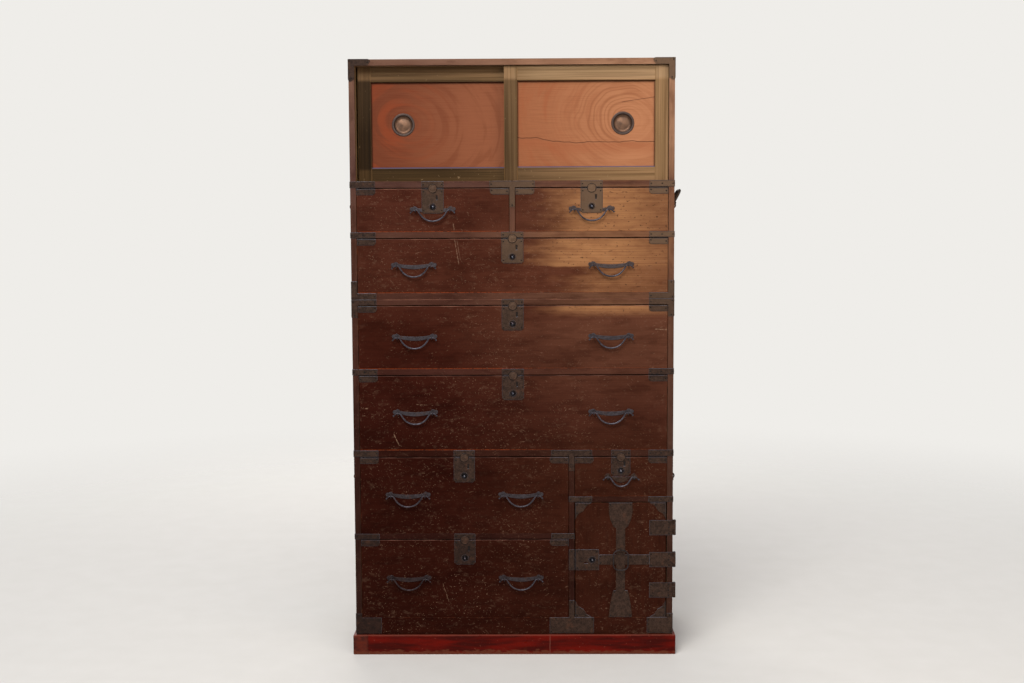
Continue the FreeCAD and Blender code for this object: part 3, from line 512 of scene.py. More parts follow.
@dataclass(frozen=True)
class Lacquer:
    """Old red-brown lacquer over wood, golden at the upper right with wear and a painted warm sheen."""

    name: str
    west: Tones
    east: Tones
    # Colours of the golden area: rubbed wear and painted sheen together.
    gold: Colour = paint(172, 122, 80)
    gold_dark: Colour = paint(146, 99, 65)
    edge_wear: Colour = paint(132, 62, 32)
    fleck: Colour = paint(146, 116, 94)
    shade: Colour = paint(168, 152, 146)
    pit: Colour = paint(52, 30, 22)
    foot_colour: Colour = paint(166, 72, 34)
    flecks: float = 1.0
    # The golden area: partly rubbed wear, partly a painted warm sheen.
    rubbed: WornSheenArea = WornSheenArea()
    behind: Tones = tones({80: (50, 27, 21), 900: (66, 39, 31), 1690: (100, 70, 56)})
    gouges: tuple[Gouge, ...] = ()
    foot_line: float = 0.0

    def material(self) -> bpy.types.Material:
        """Build the material.

        Returns:
            Lacquer with grain, flecks, scratches, worn edges and a golden area of wear and painted sheen.
        """
        s = Shader(self.name)
        place = s.place()
        x, y, z = s.split(place)
        grain, seed = s.board()
        fibre = s.streaks(grain, (0.004, 0.42, 0.42), 4.0, seed)
        cloud = s.streaks(place, (0.005, 0.01, 0.012), 3.0, 1.0)
        # The tones darken towards the bottom and the left and lighten towards the right: partly the lacquer's
        # own tone, partly painted shade and light as they fall across the front.
        base = s.blend((x + cloud * 200.0).rise(-160, 400), self.west.read(s, z), self.east.read(s, z))
        behind = (y + cloud * 20.0).rise(LEVELS.front + 8.0, LEVELS.front + 60.0)
        base = base.under(behind, self.behind.read(s, z))
        # worn is the share of the golden area, which is partly wear and partly a painted warm sheen.
        worn = self.rubbed.share(s, place, x, z) * (1 - behind)
        blotch = s.streaks(grain, (0.02, 0.06, 0.06), 6.0, seed + 27.0)
        lit = fibre.rise(0.3, 0.65) * 0.5 + blotch.rise(0.34, 0.6) * 0.5
        base = base.under(worn, s.blend(lit, self.gold_dark, self.gold))
        shade = fibre.rise(0.62, 0.36) * 0.16 + cloud.rise(0.58, 0.36) * (1 - worn) * 0.3
        shade = shade + blotch.rise(0.54, 0.38) * (0.28 - worn * 0.28)
        base = s.tint(shade, base, self.shade)
        pit = s.streaks(place, (0.11, 0.1, 0.17), 3.0, 8.0).rise(0.62, 0.67) * worn.rise(0.15, 0.5)
        base = base.under(pit * 0.75, self.pit)
        dense = s.noise(place, 0.007, 2.0, 2.0).rise(0.38, 0.6) * 0.75 + z.rise(900, 100) * 0.2 + 0.12
        chips = s.noise(place, 0.25, 1.0, 6.0).rise(0.69, 0.76) * dense
        fine = s.noise(place, 0.36, 1.0, 16.0).rise(0.69, 0.77) * dense
        sloping, steep, level = (dashes(s, place, angle, seed) for angle, seed in ((22, 1), (-48, 2), (2, 3)))
        scratch = sloping.most(steep).most(level)
        marks = (chips * 0.75).most(fine * 0.9).most(scratch * 0.36) * (self.flecks * (1 - worn * 0.5))
        broken = s.noise(place, 0.22, 2.0, 31.0).rise(0.36, 0.56) * 0.8 + 0.1
        for gouge in self.gouges:
            marks = marks.most(gouge.mask(x + fibre * 6.0 - 3.0, z) * broken)
        base = base.under(marks * 0.7, self.fleck)
        scuff = s.streaks(place, (0.05, 0.05, 0.09), 4.0, 22.0).rise(0.56, 0.7) * dense
        base = base.under(scuff * 0.09 * self.flecks, self.fleck)
        edge = s.edge()
        rub = (edge + s.noise(place, 0.05, 3.0, 9.0) * 6.0).rise(4.2, 2.4)
        base = base.under(rub * (z.rise(600, 900) * 0.16 + 0.2), s.blend(worn, self.edge_wear, self.gold))
        if self.foot_line:
            _, across, _ = s.split(grain)
            _, half_across, _ = s.split(s.attribute("grain_half"))
            line = (across + half_across + broken * 1.6).rise(4.2, 2.6) * broken
            line = line * (x.rise(120, -60) * 0.6 + 0.3) * z.rise(330, 600)
            base = base.under(line * self.foot_line, self.foot_colour)
        rough = 0.36 + fibre * 0.12 + worn * 0.1 + marks * 0.2
        height = fibre * 0.5 + marks * -0.6 + cloud * 0.2
        return s.dress({
            "Base Color": base, "Roughness": rough, "Normal": s.bump(height, 0.35),
            "Specular IOR Level": 0.025, "Coat Weight": worn * 0.12, "Coat Roughness": 0.34,
        })


@dataclass(frozen=True)
class BareWood:
    """Unpainted softwood, as on drawer sides and the back."""

    name: str
    pale: Colour
    dark: Colour
    knot: Colour = paint(74, 46, 28)
    # The colour of the painted shade in the gaps near the front.
    painted_shade: Colour = paint(40, 22, 16)

    def material(self) -> bpy.types.Material:
        """Build the material.

        Returns:
            Bare wood with streaks, knots and dust, darkened by painted shade near the front, where it lies in
            the gaps.
        """
        s = Shader(self.name)
        grain, seed = s.board()
        bend = s.streaks(grain, (0.0025, 0.008, 0.008), 2.0, seed)
        fibre = s.streaks(grain, (0.004, 0.4, 0.4), 4.0, seed)
        _, across, _ = s.split(grain)
        spots = {"Vector": s.stretch(grain, (0.0022, 0.009, 0.009)), "W": seed, "Scale": 1.0}
        knot = s.add("ShaderNodeTexVoronoi", {"voronoi_dimensions": "4D"}, spots)
        swell = knot.rise(0.3, 0.0)
        rings = ((across * 0.21 + bend * 26.0 + swell * 7.0).sine() * 0.5 + 0.5).rise(0.3, 1.0)
        tone = fibre.rise(0.3, 0.7) * 0.5 + rings * 0.22 + (seed * 0.9).sine() * 0.14 + 0.14
        base = s.blend(tone, self.dark, self.pale)
        base = base.under(knot.rise(0.05, 0.025) * 0.8, self.knot)
        stain = s.noise(s.place(), 0.008, 4.0, 5.0).rise(0.48, 0.72)
        base = base.under(stain * 0.3, self.dark)
        rub = (s.edge() + fibre * 5.0).rise(4.6, 2.0)
        base = base.under(rub * 0.5, self.knot)
        _, y, _ = s.split(s.place())
        # Painted shade: darker near the front plane, where these faces lie in the narrow gaps between parts.
        near = (y + stain * 6.0).rise(LEVELS.front + 16.0, LEVELS.front + 4.0)
        base = base.under(near * 0.9, self.painted_shade)
        return s.dress({
            "Base Color": base, "Roughness": 0.62 + tone * 0.15,
            "Normal": s.bump(fibre + rings * 0.4, 0.3), "Specular IOR Level": 0.2,
        })


@dataclass(frozen=True)
class WornGlintEdge:
    """The thin line along an edge that looks up: lacquer rubbed off there, with a painted highlight where it
    catches light from above.
    """

    name: str
    pale: Colour
    dark: Colour

    def material(self) -> bpy.types.Material:
        """Build the material and return it."""
        s = Shader(self.name)
        place = s.place()
        broken = s.streaks(place, (0.02, 0.05, 0.05), 4.0, 3.0).rise(0.4, 0.62)
        speck = s.noise(place, 0.3, 2.0, 5.0)
        base = s.blend(broken * 0.8 + speck * 0.2, self.dark, self.pale)
        return s.dress({
            "Base Color": base, "Roughness": 0.5 + speck * 0.2, "Normal": s.bump(speck, 0.2),
            "Specular IOR Level": 0.1,
        })


@dataclass(frozen=True)
class PlinthLacquer:
    """Red lacquer, lighter along its top edge and brown at the floor."""

    name: str
    red: Colour = paint(92, 11, 3)
    deep: Colour = paint(56, 7, 3)
    top: Colour = paint(124, 64, 50)
    foot: Colour = paint(92, 48, 32)

    def material(self) -> bpy.types.Material:
        """Build the material.

        Returns:
            Glossy lacquer that changes with the height above the floor.
        """
        s = Shader(self.name)
        place = s.place()
        x, _, z = s.split(place)
        streak = s.streaks(place, (0.008, 0.02, 0.06), 4.0)
        fine = s.noise(place, 0.08, 3.0, 2.0)
        base = s.blend(streak.rise(0.35, 0.65), self.red, self.deep)
        ends = s.streaks(place, (0.06, 0.02, 0.09), 4.0, 13.0).rise(0.35, 0.65)
        base = base.under(x.rise(-418, -424) * 0.8, s.blend(ends, paint(52, 27, 22), paint(88, 36, 24)))
        seam = abs(x - 104.0 + fine * 2.0).rise(1.8, 0.7)
        base = base.under(seam * 0.7, paint(110, 60, 50))
        chew = s.streaks(place, (0.05, 0.05, 0.12), 4.0, 4.0)
        worn_foot = (z + (chew - 0.5) * 44.0).rise(13, 7)
        base = base.under(worn_foot * (0.5 + fine * 0.6), self.foot)
        base = base.under((z + fine * 3.0).rise(54.6, 56.8) * 0.5, self.top)
        chips = s.noise(place, 0.16, 2.0, 7.0).rise(0.68, 0.72)
        base = base.under(chips * 0.5, self.top)
        rough = 0.22 + fine * 0.16 + worn_foot * 0.4
        return s.dress({
            "Base Color": base, "Roughness": rough, "Normal": s.bump(fine + streak, 0.3),
            "Specular IOR Level": 0.06, "Coat Weight": 0.03, "Coat Roughness": 0.25,
        })


@dataclass(frozen=True)
class Cypress:
    """Straight-grained olive-brown wood of the sliding doors' frames."""

    name: str
    west: Colour = paint(44, 29, 11)
    east: Colour = paint(160, 124, 88)

    def material(self) -> bpy.types.Material:
        """Build the material.

        Returns:
            Straight grain that lightens towards the right, partly with painted light, and at the head rails
            with painted light.
        """
        s = Shader(self.name)
        place = s.place()
        x, _, z = s.split(place)
        grain, seed = s.board()
        fibre = s.streaks(grain, (0.003, 0.3, 0.3), 5.0, seed)
        band = s.streaks(grain, (0.002, 0.07, 0.07), 2.0, seed)
        # Lighter towards the right: partly the wood's tone, partly painted light; the lift at the head rails
        # is painted light over their shade.
        light = x.rise(-290, 400) * 0.85 + z.rise(1400, 1600) * 0.1 + z.rise(1630, 1642) * 0.4 - 0.04
        base = s.blend(light, self.west, self.east)
        # Painted highlight on the right door's head rail.
        base = base.under(z.rise(1630, 1642) * x.rise(-60, 100) * 0.4, paint(192, 160, 128))
        base = base.under(z.rise(1392, 1382) * x.rise(20, -60) * 0.35, paint(104, 78, 46))
        base = s.tint(band.rise(0.35, 0.65) * 0.5, base, paint(176, 178, 160))
        base = s.tint(fibre.rise(0.6, 0.35) * 0.6, base, paint(165, 155, 140))
        marks = dashes(s, place, 8.0, 5.0).most(s.noise(place, 0.16, 2.0, 3.0).rise(0.7, 0.74))
        base = base.under(marks * 0.5, paint(150, 124, 92))
        rub = (s.edge() + fibre * 3.0).rise(3.2, 1.6)
        base = base.under(rub * 0.35, paint(150, 112, 70))
        return s.dress({
            "Base Color": base, "Roughness": 0.4 + fibre * 0.2, "Normal": s.bump(fibre, 0.3),
            "Specular IOR Level": 0.08,
        })


@dataclass(frozen=True)
class PanelWood:
    """The figured board of a sliding door, with its rings, swirls and cracks."""

    name: str
    pale: Colour
    deep: Colour
    ember: Colour
    line: Colour
    heart: Span
    ring_pitch: float
    squeeze: float
    figure: float
    cracked: bool

    def material(self) -> bpy.types.Material:
        """Build the material.

        Returns:
            Figured wood about its heart, which lies beside the round pull.
        """
        s = Shader(self.name)
        grain = s.attribute("grain_place")
        along, across, _ = s.split(grain)
        half_along, half_across, _ = s.split(s.attribute("grain_half"))
        warp = s.noise(grain, 0.009, 1.0, 2.0)
        dx = (along - self.heart[0]) * self.squeeze
        dz = across - self.heart[1] + dx * 0.12
        distance = (dx * dx + dz * dz) ** 0.5
        turns = (distance + warp * 44.0) * (1.0 / self.ring_pitch)
        rings = (turns * math.tau + (turns * 2.6).sine() * 1.2).sine() * 0.5 + 0.5
        near = distance.rise(165.0, 60.0) * (along - self.heart[0] - across * 0.5).rise(50.0, -40.0)
        fibre = s.streaks(grain, (0.012, 0.35, 0.3), 4.0, 4.0)
        curl = s.join(distance * 0.05, along * 0.007, across * 0.007)
        swirl = s.noise(curl, 1.0, 5.0, 9.0, 0.6)
        base = s.blend((along + swirl * 120.0).rise(-140.0, 220.0), self.deep, self.pale)
        base = base.under(swirl.rise(0.5, 0.38) * 0.35, self.deep)
        base = base.under(rings.rise(0.45, 1.0) * (near * 0.26 + 0.03) * self.figure, self.line)
        base = base.under(fibre.rise(0.42, 0.68) * (0.2 + along.rise(60.0, -180.0) * 0.2), self.line)
        ember = s.noise(curl, 1.3, 5.0, 6.0, 0.4).rise(0.45, 0.66)
        base = base.under(ember * along.rise(60.0, -150.0) * 0.42, self.ember)
        height = rings * 0.25 + fibre * 0.4
        if self.cracked:
            drift = s.streaks(grain, (0.02, 0.0, 0.0), 1.0, 3.0)
            wave = across + 27.0 + along.rise(-180.0, -60.0) * 14.0 + drift * 18.0
            slant = across - 66.0 - (along - 130.0) * 0.15 + drift * 3.0
            crack = abs(wave).rise(1.5, 0.6).most(abs(slant).rise(1.1, 0.4) * along.rise(96.0, 104.0))
            base = base.under(crack * 0.75, paint(60, 28, 18))
            base = base.under(wave.rise(0.0, -6.0) * wave.rise(-46.0, -10.0) * 0.35, self.ember)
            height = height - crack
        # Painted shade: the panel darkens along its edges where the frame overhangs it, most under the head
        # rail.
        painted_shade = (half_across - across).rise(15.0, 7.0).most((half_along - abs(along)).rise(11.0, 7.0) * 0.8)
        base = base.under(painted_shade * 0.8, paint(34, 18, 12))
        # Painted highlight: a bluish strip along the panel's foot, just above the rail.
        ledge_glint = (across + half_across).rise(9.6, 8.8)
        base = base.under(ledge_glint * 0.8, paint(70, 80, 112))
        return s.dress({
            "Base Color": base, "Roughness": 0.42 + fibre * 0.15, "Normal": s.bump(height, 0.4),
            "Specular IOR Level": 0.08,
        })


@dataclass(frozen=True)
class Iron:
    """Forged iron under an old brown coat, rubbed bare at its edges, with painted light and shade over it."""

    name: str
    brown: Colour
    grey: Colour
    # The colour of the painted warm sheen at the upper right.
    tan: Colour = paint(118, 92, 70)
    # The colour of the bare edges, partly bare metal and partly a painted glint.
    bare_glint: Colour = paint(108, 108, 118)
    warm_sheen: float = 0.6
    metal: float = 0.25
    rough: float = 0.55
    # How strongly the edges are rubbed bare and lit with a painted glint.
    rub: float = 0.6
    gloss: float = 0.2

    def material(self) -> bpy.types.Material:
        """Build the material.

        Returns:
            Pitted iron with hammer marks and bare edges.
        """
        s = Shader(self.name)
        place = s.place()
        x, _, z = s.split(place)
        hammer = s.noise(place, 0.11, 3.0, 1.0)
        pits = s.noise(place, 0.4, 3.0, 4.0)
        tone = hammer.rise(0.38, 0.62) * 0.45 + pits.rise(0.4, 0.62) * 0.55
        base = s.blend(tone, self.brown, self.grey)
        # Painted shade: darker towards the lower left, where less light falls.
        base = s.tint(z.rise(620, 250) * x.rise(380, -420), base, paint(190, 166, 158))
        # Painted warm sheen at the upper right.
        base = base.under(x.rise(-450, 350) * z.rise(850, 1250) * self.warm_sheen, self.tan)
        edge = s.edge()
        # Painted shadow: a dark band just inside the edges.
        base = base.under(edge.rise(3.4, 1.2) * 0.4, self.brown)
        # Bare edges: partly rubbed metal, partly a painted bluish glint.
        bare = (edge + pits * 1.6).rise(1.5, 0.9) * self.rub
        base = base.under(bare, self.bare_glint)
        rust = s.noise(place, 0.06, 4.0, 7.0).rise(0.58, 0.7)
        base = base.under(rust * 0.35, paint(86, 54, 38))
        return s.dress({
            "Base Color": base, "Roughness": self.rough + pits * 0.2 - bare * 0.15,
            "Metallic": self.metal, "Normal": s.bump(hammer * 0.6 + pits * 0.4, 0.3),
            "Specular IOR Level": self.gloss,
        })


@dataclass(frozen=True)
class DishIron:
    """The round pulls of the sliding doors: dark walls and a floor rubbed to bronze."""

    name: str
    dark: Colour = paint(40, 31, 28)
    bronze: Colour = paint(132, 98, 76)

    def material(self) -> bpy.types.Material:
        """Build the material.

        Returns:
            Iron that lightens towards the middle of the dish.
        """
        s = Shader(self.name)
        grain = s.attribute("grain_place")
        a, b, _ = s.split(grain)
        distance = (a * a + b * b) ** 0.5
        cloud = s.noise(grain, 0.07, 4.0)
        pits = s.noise(grain, 0.5, 2.0, 2.0)
        floor = (distance + cloud * 5.0).rise(28.5, 25.0)
        base = s.blend(floor * (cloud.rise(0.25, 0.7) * 0.6 + 0.4), self.dark, self.bronze)
        base = base.under(pits.rise(0.6, 0.7) * 0.3, self.dark)
        rim = abs(distance - 29.6).rise(3.4, 2.4) * 0.8
        base = base.under(rim, paint(84, 67, 60))
        return s.dress({
            "Base Color": base, "Roughness": 0.38 + cloud * 0.2, "Metallic": 0.6,
            "Normal": s.bump(cloud * 0.7 + pits * 0.3, 0.25),
        })


@dataclass(frozen=True)
class StudioFloor:
    """The plain pale floor."""

    name: str = "pale_floor"

    def material(self) -> bpy.types.Material:
        """Build the material and return it."""
        s = Shader(self.name)
        place = s.place()
        x, y, _ = s.split(place)
        speck = s.noise(place, 0.01, 3.0)
        base = s.blend(speck, paint(206, 203, 198), paint(214, 211, 207))
        away = (x * x + y * y) ** 0.5
        return s.dress({
            "Base Color": base, "Roughness": 0.9, "Specular IOR Level": 0.1,
            "Alpha": away.rise(4600.0, 900.0),
        })


class Finishes:
    """Every finish of the chest, each built once."""

    drawer = Lacquer(
        "drawer_lacquer",
        tones({100: (42, 13, 6), 580: (45, 15, 8), 700: (50, 18, 11), 920: (58, 24, 15),
               1080: (70, 35, 24), 1270: (73, 37, 26)}),
        tones({100: (50, 21, 12), 580: (60, 30, 19), 700: (71, 38, 27), 920: (92, 56, 41),
               1080: (88, 49, 34), 1270: (86, 50, 35)}),
        gouges=(
            Gouge((-166, 1236), (-162, 1214), 2.0, 0.6), Gouge((-163, 1196), (-150, 1118), 1.5, 0.7),
            Gouge((-156, 1190), (-146, 1130), 1.2, 0.5), Gouge((-340, 640), (-326, 608), 1.6, 0.9),
            Gouge((-326, 608), (-318, 604), 1.8, 0.9), Gouge((-204, 205), (-186, 150), 1.2, 0.6),
            Gouge((-430, 712), (-412, 713), 1.8, 0.8), Gouge((-430, 692), (-420, 692), 1.4, 0.7),
            Gouge((-276, 724), (-244, 722), 1.5, 0.7), Gouge((400, 936), (438, 934), 2.0, 0.8),
        ),
        foot_line=0.6,
    )
    case = Lacquer(
        "case_lacquer",
        tones({80: (44, 25, 20), 600: (52, 29, 23), 1000: (74, 45, 36), 1210: (82, 53, 43),
               1400: (88, 61, 54), 1690: (116, 84, 69)}),
        tones({80: (56, 34, 27), 600: (72, 48, 39), 1000: (94, 62, 47), 1210: (110, 75, 57),
               1350: (100, 67, 53), 1400: (144, 106, 81), 1690: (158, 118, 92)}),
        edge_wear=paint(132, 82, 58), flecks=0.45, rubbed=WornSheenArea(0.6, 0.12),
    )
    bare = BareWood("bare_kiri", paint(176, 140, 98), paint(128, 94, 60))
    plank = BareWood("bare_back", paint(140, 110, 80), paint(94, 68, 46))
    # Lines on up-facing edges: wear and a painted highlight, dimmer lower down where less light falls.
    worn_glint_line = WornGlintEdge("worn_glint_edge", paint(146, 98, 80), paint(78, 44, 34))
    worn_glint_line_low = WornGlintEdge("worn_glint_edge_low", paint(112, 74, 62), paint(50, 24, 17))
    rail = Lacquer(
        "rail_lacquer",
        tones({80: (42, 18, 12), 333: (44, 19, 14), 569: (44, 18, 12), 802: (66, 36, 29)}),
        tones({80: (46, 22, 17), 333: (50, 26, 20), 569: (58, 33, 25), 802: (84, 51, 39)}),
        edge_wear=paint(96, 58, 44), flecks=0.5, rubbed=WornSheenArea(0.2),
    )
    plinth = PlinthLacquer("plinth_red")
    frame_wood = Cypress("frame_cypress")
    panel_left = PanelWood("panel_left", paint(134, 80, 54), paint(106, 55, 34), paint(142, 62, 32),
                           paint(96, 42, 24), (-92.0, 6.0), 23.0, 0.8, 0.6, False)
    panel_right = PanelWood("panel_right", paint(170, 114, 80), paint(146, 90, 60), paint(146, 78, 48),
                            paint(124, 74, 46), (112.0, 14.0), 11.0, 0.8, 1.4, True)
    plate = Iron("plate_iron", paint(36, 22, 15), paint(66, 47, 37))
    boss = Iron("boss_iron", paint(50, 34, 26), paint(84, 63, 50), warm_sheen=0.7)
    seat = Iron("seat_iron", paint(56, 49, 51), paint(78, 73, 78), warm_sheen=0.2, metal=0.6,
                rough=0.4, rub=0.3)
    # Polish and a painted highlight for the middle of the lock buttons.
    button_glint = Iron("button_glint_iron", paint(120, 122, 134), paint(176, 178, 190), warm_sheen=0.0, metal=0.9,
                  rough=0.2, rub=0.0)
    # Painted highlight: a lighter bluish iron for eased edges that look up.
    glint = Iron("glint_edge_iron", paint(74, 72, 78), paint(112, 112, 122), warm_sheen=0.3, metal=0.5,
                 rough=0.4, rub=0.0)
    bail = Iron("bail_iron", paint(56, 51, 54), paint(92, 89, 98), warm_sheen=0.0, metal=0.8, rough=0.34, rub=0.2)
    ring = Iron("ring_iron", paint(34, 28, 28), paint(66, 58, 58), warm_sheen=0.0, metal=0.6, rough=0.4, rub=0.2)
    grip = Iron("grip_iron", paint(38, 28, 24), paint(64, 52, 46), warm_sheen=0.2, metal=0.6, rough=0.42, rub=0.2)
    button = Iron("button_iron", paint(14, 11, 12), paint(66, 64, 72), warm_sheen=0.0, metal=0.9,
                  rough=0.25, rub=0.2)
    nail = Iron("nail_iron", paint(14, 10, 9), paint(30, 23, 20), warm_sheen=0.1, metal=0.1, rub=0.0)
    dish = DishIron("pull_iron")
    floor = StudioFloor()

    built: dict[str, bpy.types.Material] = {}

    @classmethod
    def of(cls, finish: Any) -> bpy.types.Material:
        """Return a finish's material, built at its first use."""
        if finish.name not in cls.built:
            cls.built[finish.name] = finish.material()
        return cls.built[finish.name]


@dataclass(frozen=True)
class Outline:
    """One visible flat face of an iron plate."""

    way: Way
    corners: tuple[Vector, ...]
    low: Vector
    high: Vector


class Workpiece:
    """One visible piece in the making."""

    def __init__(self, name: str, *finishes: Any) -> None:
        """Start a piece.

        Args:
            name: The piece's name.
            finishes: Its finishes; the first is the one that shows outside.
        """
        self.name = name
        self.finishes = finishes
        self.bm = bmesh.new()
        layers = self.bm.verts.layers
        self.place = layers.float_vector.new("grain_place")
        self.half = layers.float_vector.new("grain_half")
        self.seed = layers.float.new("grain_seed")
        self.part = layers.int.new("part")
        self.parts = 0

    def fresh(self) -> list[Vert]:
        """Return the points that no part has taken yet."""
        return [vert for vert in self.bm.verts if vert[self.part] == 0]

    def settle(self, smooth: bool = False, slot: int = 0, shown: Sequence[Way] = (),
               along: Way | None = None) -> None:
        """Close the newest part and write its board coordinates.

        Args:
            smooth: Shade it smooth.
            slot: The number of its finish.
            shown: Sides that take the first finish while the others take the second.
            along: The grain's direction; the longest side if there is none.
        """
        fresh = self.fresh()
        low, high = extent(fresh)
        size = high - low
        order = sorted(range(3), key=lambda i: -size[i])
        if along:
            first = max(range(3), key=lambda i: abs(along.value[i]))
            order = [first] + [i for i in order if i != first]
        self.parts += 1
        middle = (low + high) / 2
        for vert in fresh:
            local = vert.co - middle
            vert[self.place] = Vector(local[i] for i in order)
            vert[self.half] = Vector(size[i] / 2 for i in order)
            vert[self.seed] = self.parts * 3.7 + (low.x + low.z) * 0.013
            vert[self.part] = self.parts
        faces = faces_of(fresh)
        bmesh.ops.recalc_face_normals(self.bm, faces=faces)
        if sum(face.normal.dot(face.calc_center_median() - middle) * face.calc_area() for face in faces) < 0:
            bmesh.ops.reverse_faces(self.bm, faces=faces)
        for face in faces:
            face.smooth = smooth
            face.material_index = slot
            if shown:
                seen = max(face.normal.dot(way.value) for way in shown)
                face.material_index = 0 if seen > 0.3 else 1

    def block(self, low: Sequence[float], high: Sequence[float], bevel: float = EASED_INSIDE,
              shown: Sequence[Way] = (), along: Way | None = None, slot: int = 0) -> None:
        """Add a board with eased edges.

        Args:
            low: Its lowest corner.
            high: Its highest corner.
            bevel: How wide its eased edges are.
            shown: Sides that take the first finish while the others take the second.
            along: The grain's direction.
            slot: The number of its finish where no sides are named.
        """
        low, high = Vector(low), Vector(high)
        form = Matrix.Translation((low + high) / 2) @ Matrix.Diagonal((*(high - low), 1))
        verts = bmesh.ops.create_cube(self.bm, size=1, matrix=form)["verts"]
        self.ease(edges_of(verts), bevel)
        self.settle(False, slot, shown, along)

    def ease(self, edges: list[Edge], width: float, segments: int = 2) -> None:
        """Round some edges off."""
        bmesh.ops.bevel(self.bm, geom=edges, offset=width, offset_type="OFFSET", segments=segments,
                        profile=0.5, affect="EDGES", clamp_overlap=True, material=-1)

    def ease_sharp(self, width: float, segments: int = 2) -> None:
        """Round the newest part's sharp edges off."""
        edges = edges_of(self.fresh())
        self.ease([e for e in edges if e.calc_face_angle(0.0) > SHARP], width, segments)

    def plate(self, outline: Sequence[Vector], back: float, thick: float, bevel: float = 0.4,
              shape: Matrix | None = None, slot: int = 0) -> None:
        """Add a flat plate that stands proud of a plane.

        Args:
            outline: Its corners in the XZ plane.
            back: The depth of its rear face.
            thick: How far it stands forward.
            bevel: How wide its eased front edge is.
            shape: A transform for the finished plate.
            slot: The number of its finish.
        """
        verts = [self.bm.verts.new((point.x, back, point.z)) for point in outline]
        face = self.bm.faces.new(verts)
        raised = bmesh.ops.extrude_face_region(self.bm, geom=[face], use_keep_orig=True)["geom"]
        moved = verts_in(raised)
        bmesh.ops.translate(self.bm, verts=moved, vec=(0, -thick, 0))
        bmesh.ops.recalc_face_normals(self.bm, faces=faces_of(self.fresh()))
        self.ease([edge for edge in edges_of(moved) if all(v in moved for v in edge.verts)], bevel)
        self.shape_fresh(shape)
        self.settle(slot=slot)

    def shape_fresh(self, shape: Matrix | None) -> None:
        """Apply a transform to the newest part."""
        if shape:
            bmesh.ops.transform(self.bm, matrix=shape, verts=self.fresh())

    def lathe(self, centre: Vector, profile: Sequence[Span], way: Way, steps: int = 24,
              closed: bool = False, slot: int = 0) -> None:
        """Add a turned form.

        Args:
            centre: Where its axis starts.
            profile: Pairs of radius and height along the axis.
            way: The axis.
            steps: How many facets it has round.
            closed: Join the profile's last point to its first.
            slot: The number of its finish.
        """
        axis = way.value
        side = axis.orthogonal().normalized()
        verts = [self.bm.verts.new(centre + side * radius + axis * height) for radius, height in profile]
        pairs = list(zip(verts, verts[1:]))
        if closed:
            pairs.append((verts[-1], verts[0]))
        edges = [self.bm.edges.new(pair) for pair in pairs]
        bmesh.ops.spin(self.bm, geom=verts + edges, cent=centre, axis=axis, angle=math.tau, steps=steps,
                       use_merge=True, use_duplicate=False)
        bmesh.ops.remove_doubles(self.bm, verts=self.fresh(), dist=TOUCHING)
        self.settle(True, slot)

    def sweep(self, path: Sequence[Vector], radii: Sequence[float], sides: int = 10,
              shape: Matrix | None = None, closed: bool = False) -> None:
        """Add a round bar along a path in the XZ plane.

        Args:
            path: The bar's middle line.
            radii: Its radius at each point.
            sides: How many facets it has round.
            shape: A transform for the finished bar.
            closed: The path ends where it starts.
        """
        forms = []
        for index, point in enumerate(path):
            before = path[index - 1] if index or closed else point
            after = path[(index + 1) % len(path)] if index < len(path) - 1 or closed else point
            ahead = (after - before).normalized()
            side = Way.REAR.value.cross(ahead)
            turn = Matrix((side, Way.REAR.value, ahead)).transposed().to_4x4()
            forms.append(Matrix.Translation(point) @ turn @ Matrix.Scale(radii[index], 4))
        made = bmesh.ops.create_circle(self.bm, segments=sides, radius=1.0, matrix=forms[0])
        ring = first = edges_of(made["verts"])
        for last, form in zip(forms, forms[1:]):
            grown = bmesh.ops.extrude_edge_only(self.bm, edges=ring)["geom"]
            verts = verts_in(grown)
            ring = [item for item in grown if isinstance(item, Edge)
                    and all(v in verts for v in item.verts)]
            bmesh.ops.transform(self.bm, matrix=form @ last.inverted(), verts=verts)
        if closed:
            bmesh.ops.bridge_loops(self.bm, edges=first + ring)
        else:
            bmesh.ops.edgeloop_fill(self.bm, edges=first)
            bmesh.ops.edgeloop_fill(self.bm, edges=ring)
        self.shape_fresh(shape)
        self.settle(True)

    def forge(self, node: str, left_out: Callable[[Vector, Vector], bool] = keep_all,
              bevel: float = 0.55, boards: bool = False, shown: Sequence[Way] = ()) -> list[Outline]:
        """Add eased copies of a CAD node's solids.

        Args:
            node: The node.
            left_out: Says by its corners that a solid is made another way.
            bevel: How wide the eased edges are.
            boards: The solids are wood, and their plates' faces aren't wanted.
            shown: Sides that take the first finish while the others take the second.

        Returns:
            The plates' visible faces.
        """
        self.bm.from_mesh(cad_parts[node].data)
        self.bm.verts.ensure_lookup_table()
        bmesh.ops.transform(self.bm, matrix=Matrix.Scale(METRE, 4), verts=self.fresh())
        bmesh.ops.remove_doubles(self.bm, verts=self.fresh(), dist=TOUCHING)
        bmesh.ops.dissolve_limit(self.bm, angle_limit=FLAT, verts=self.fresh(),
                                 edges=edges_of(self.fresh()))
        outlines: list[Outline] = []
        number = -1
        while loose := self.fresh():
            island = grow(loose[0])
            low, high = extent(island)
            if left_out(low, high):
                bmesh.ops.delete(self.bm, geom=island, context="VERTS")
                continue
            if not boards:
                outlines += visible_faces(island, low, high)
            for vert in island:
                vert[self.part] = number
            number -= 1
        for index in range(-1, number, -1):
            for vert in self.bm.verts:
                if vert[self.part] == index:
                    vert[self.part] = 0
            self.ease_sharp(bevel)
            self.settle(shown=shown)
        if not boards:
            self.brighten(2)
        return outlines

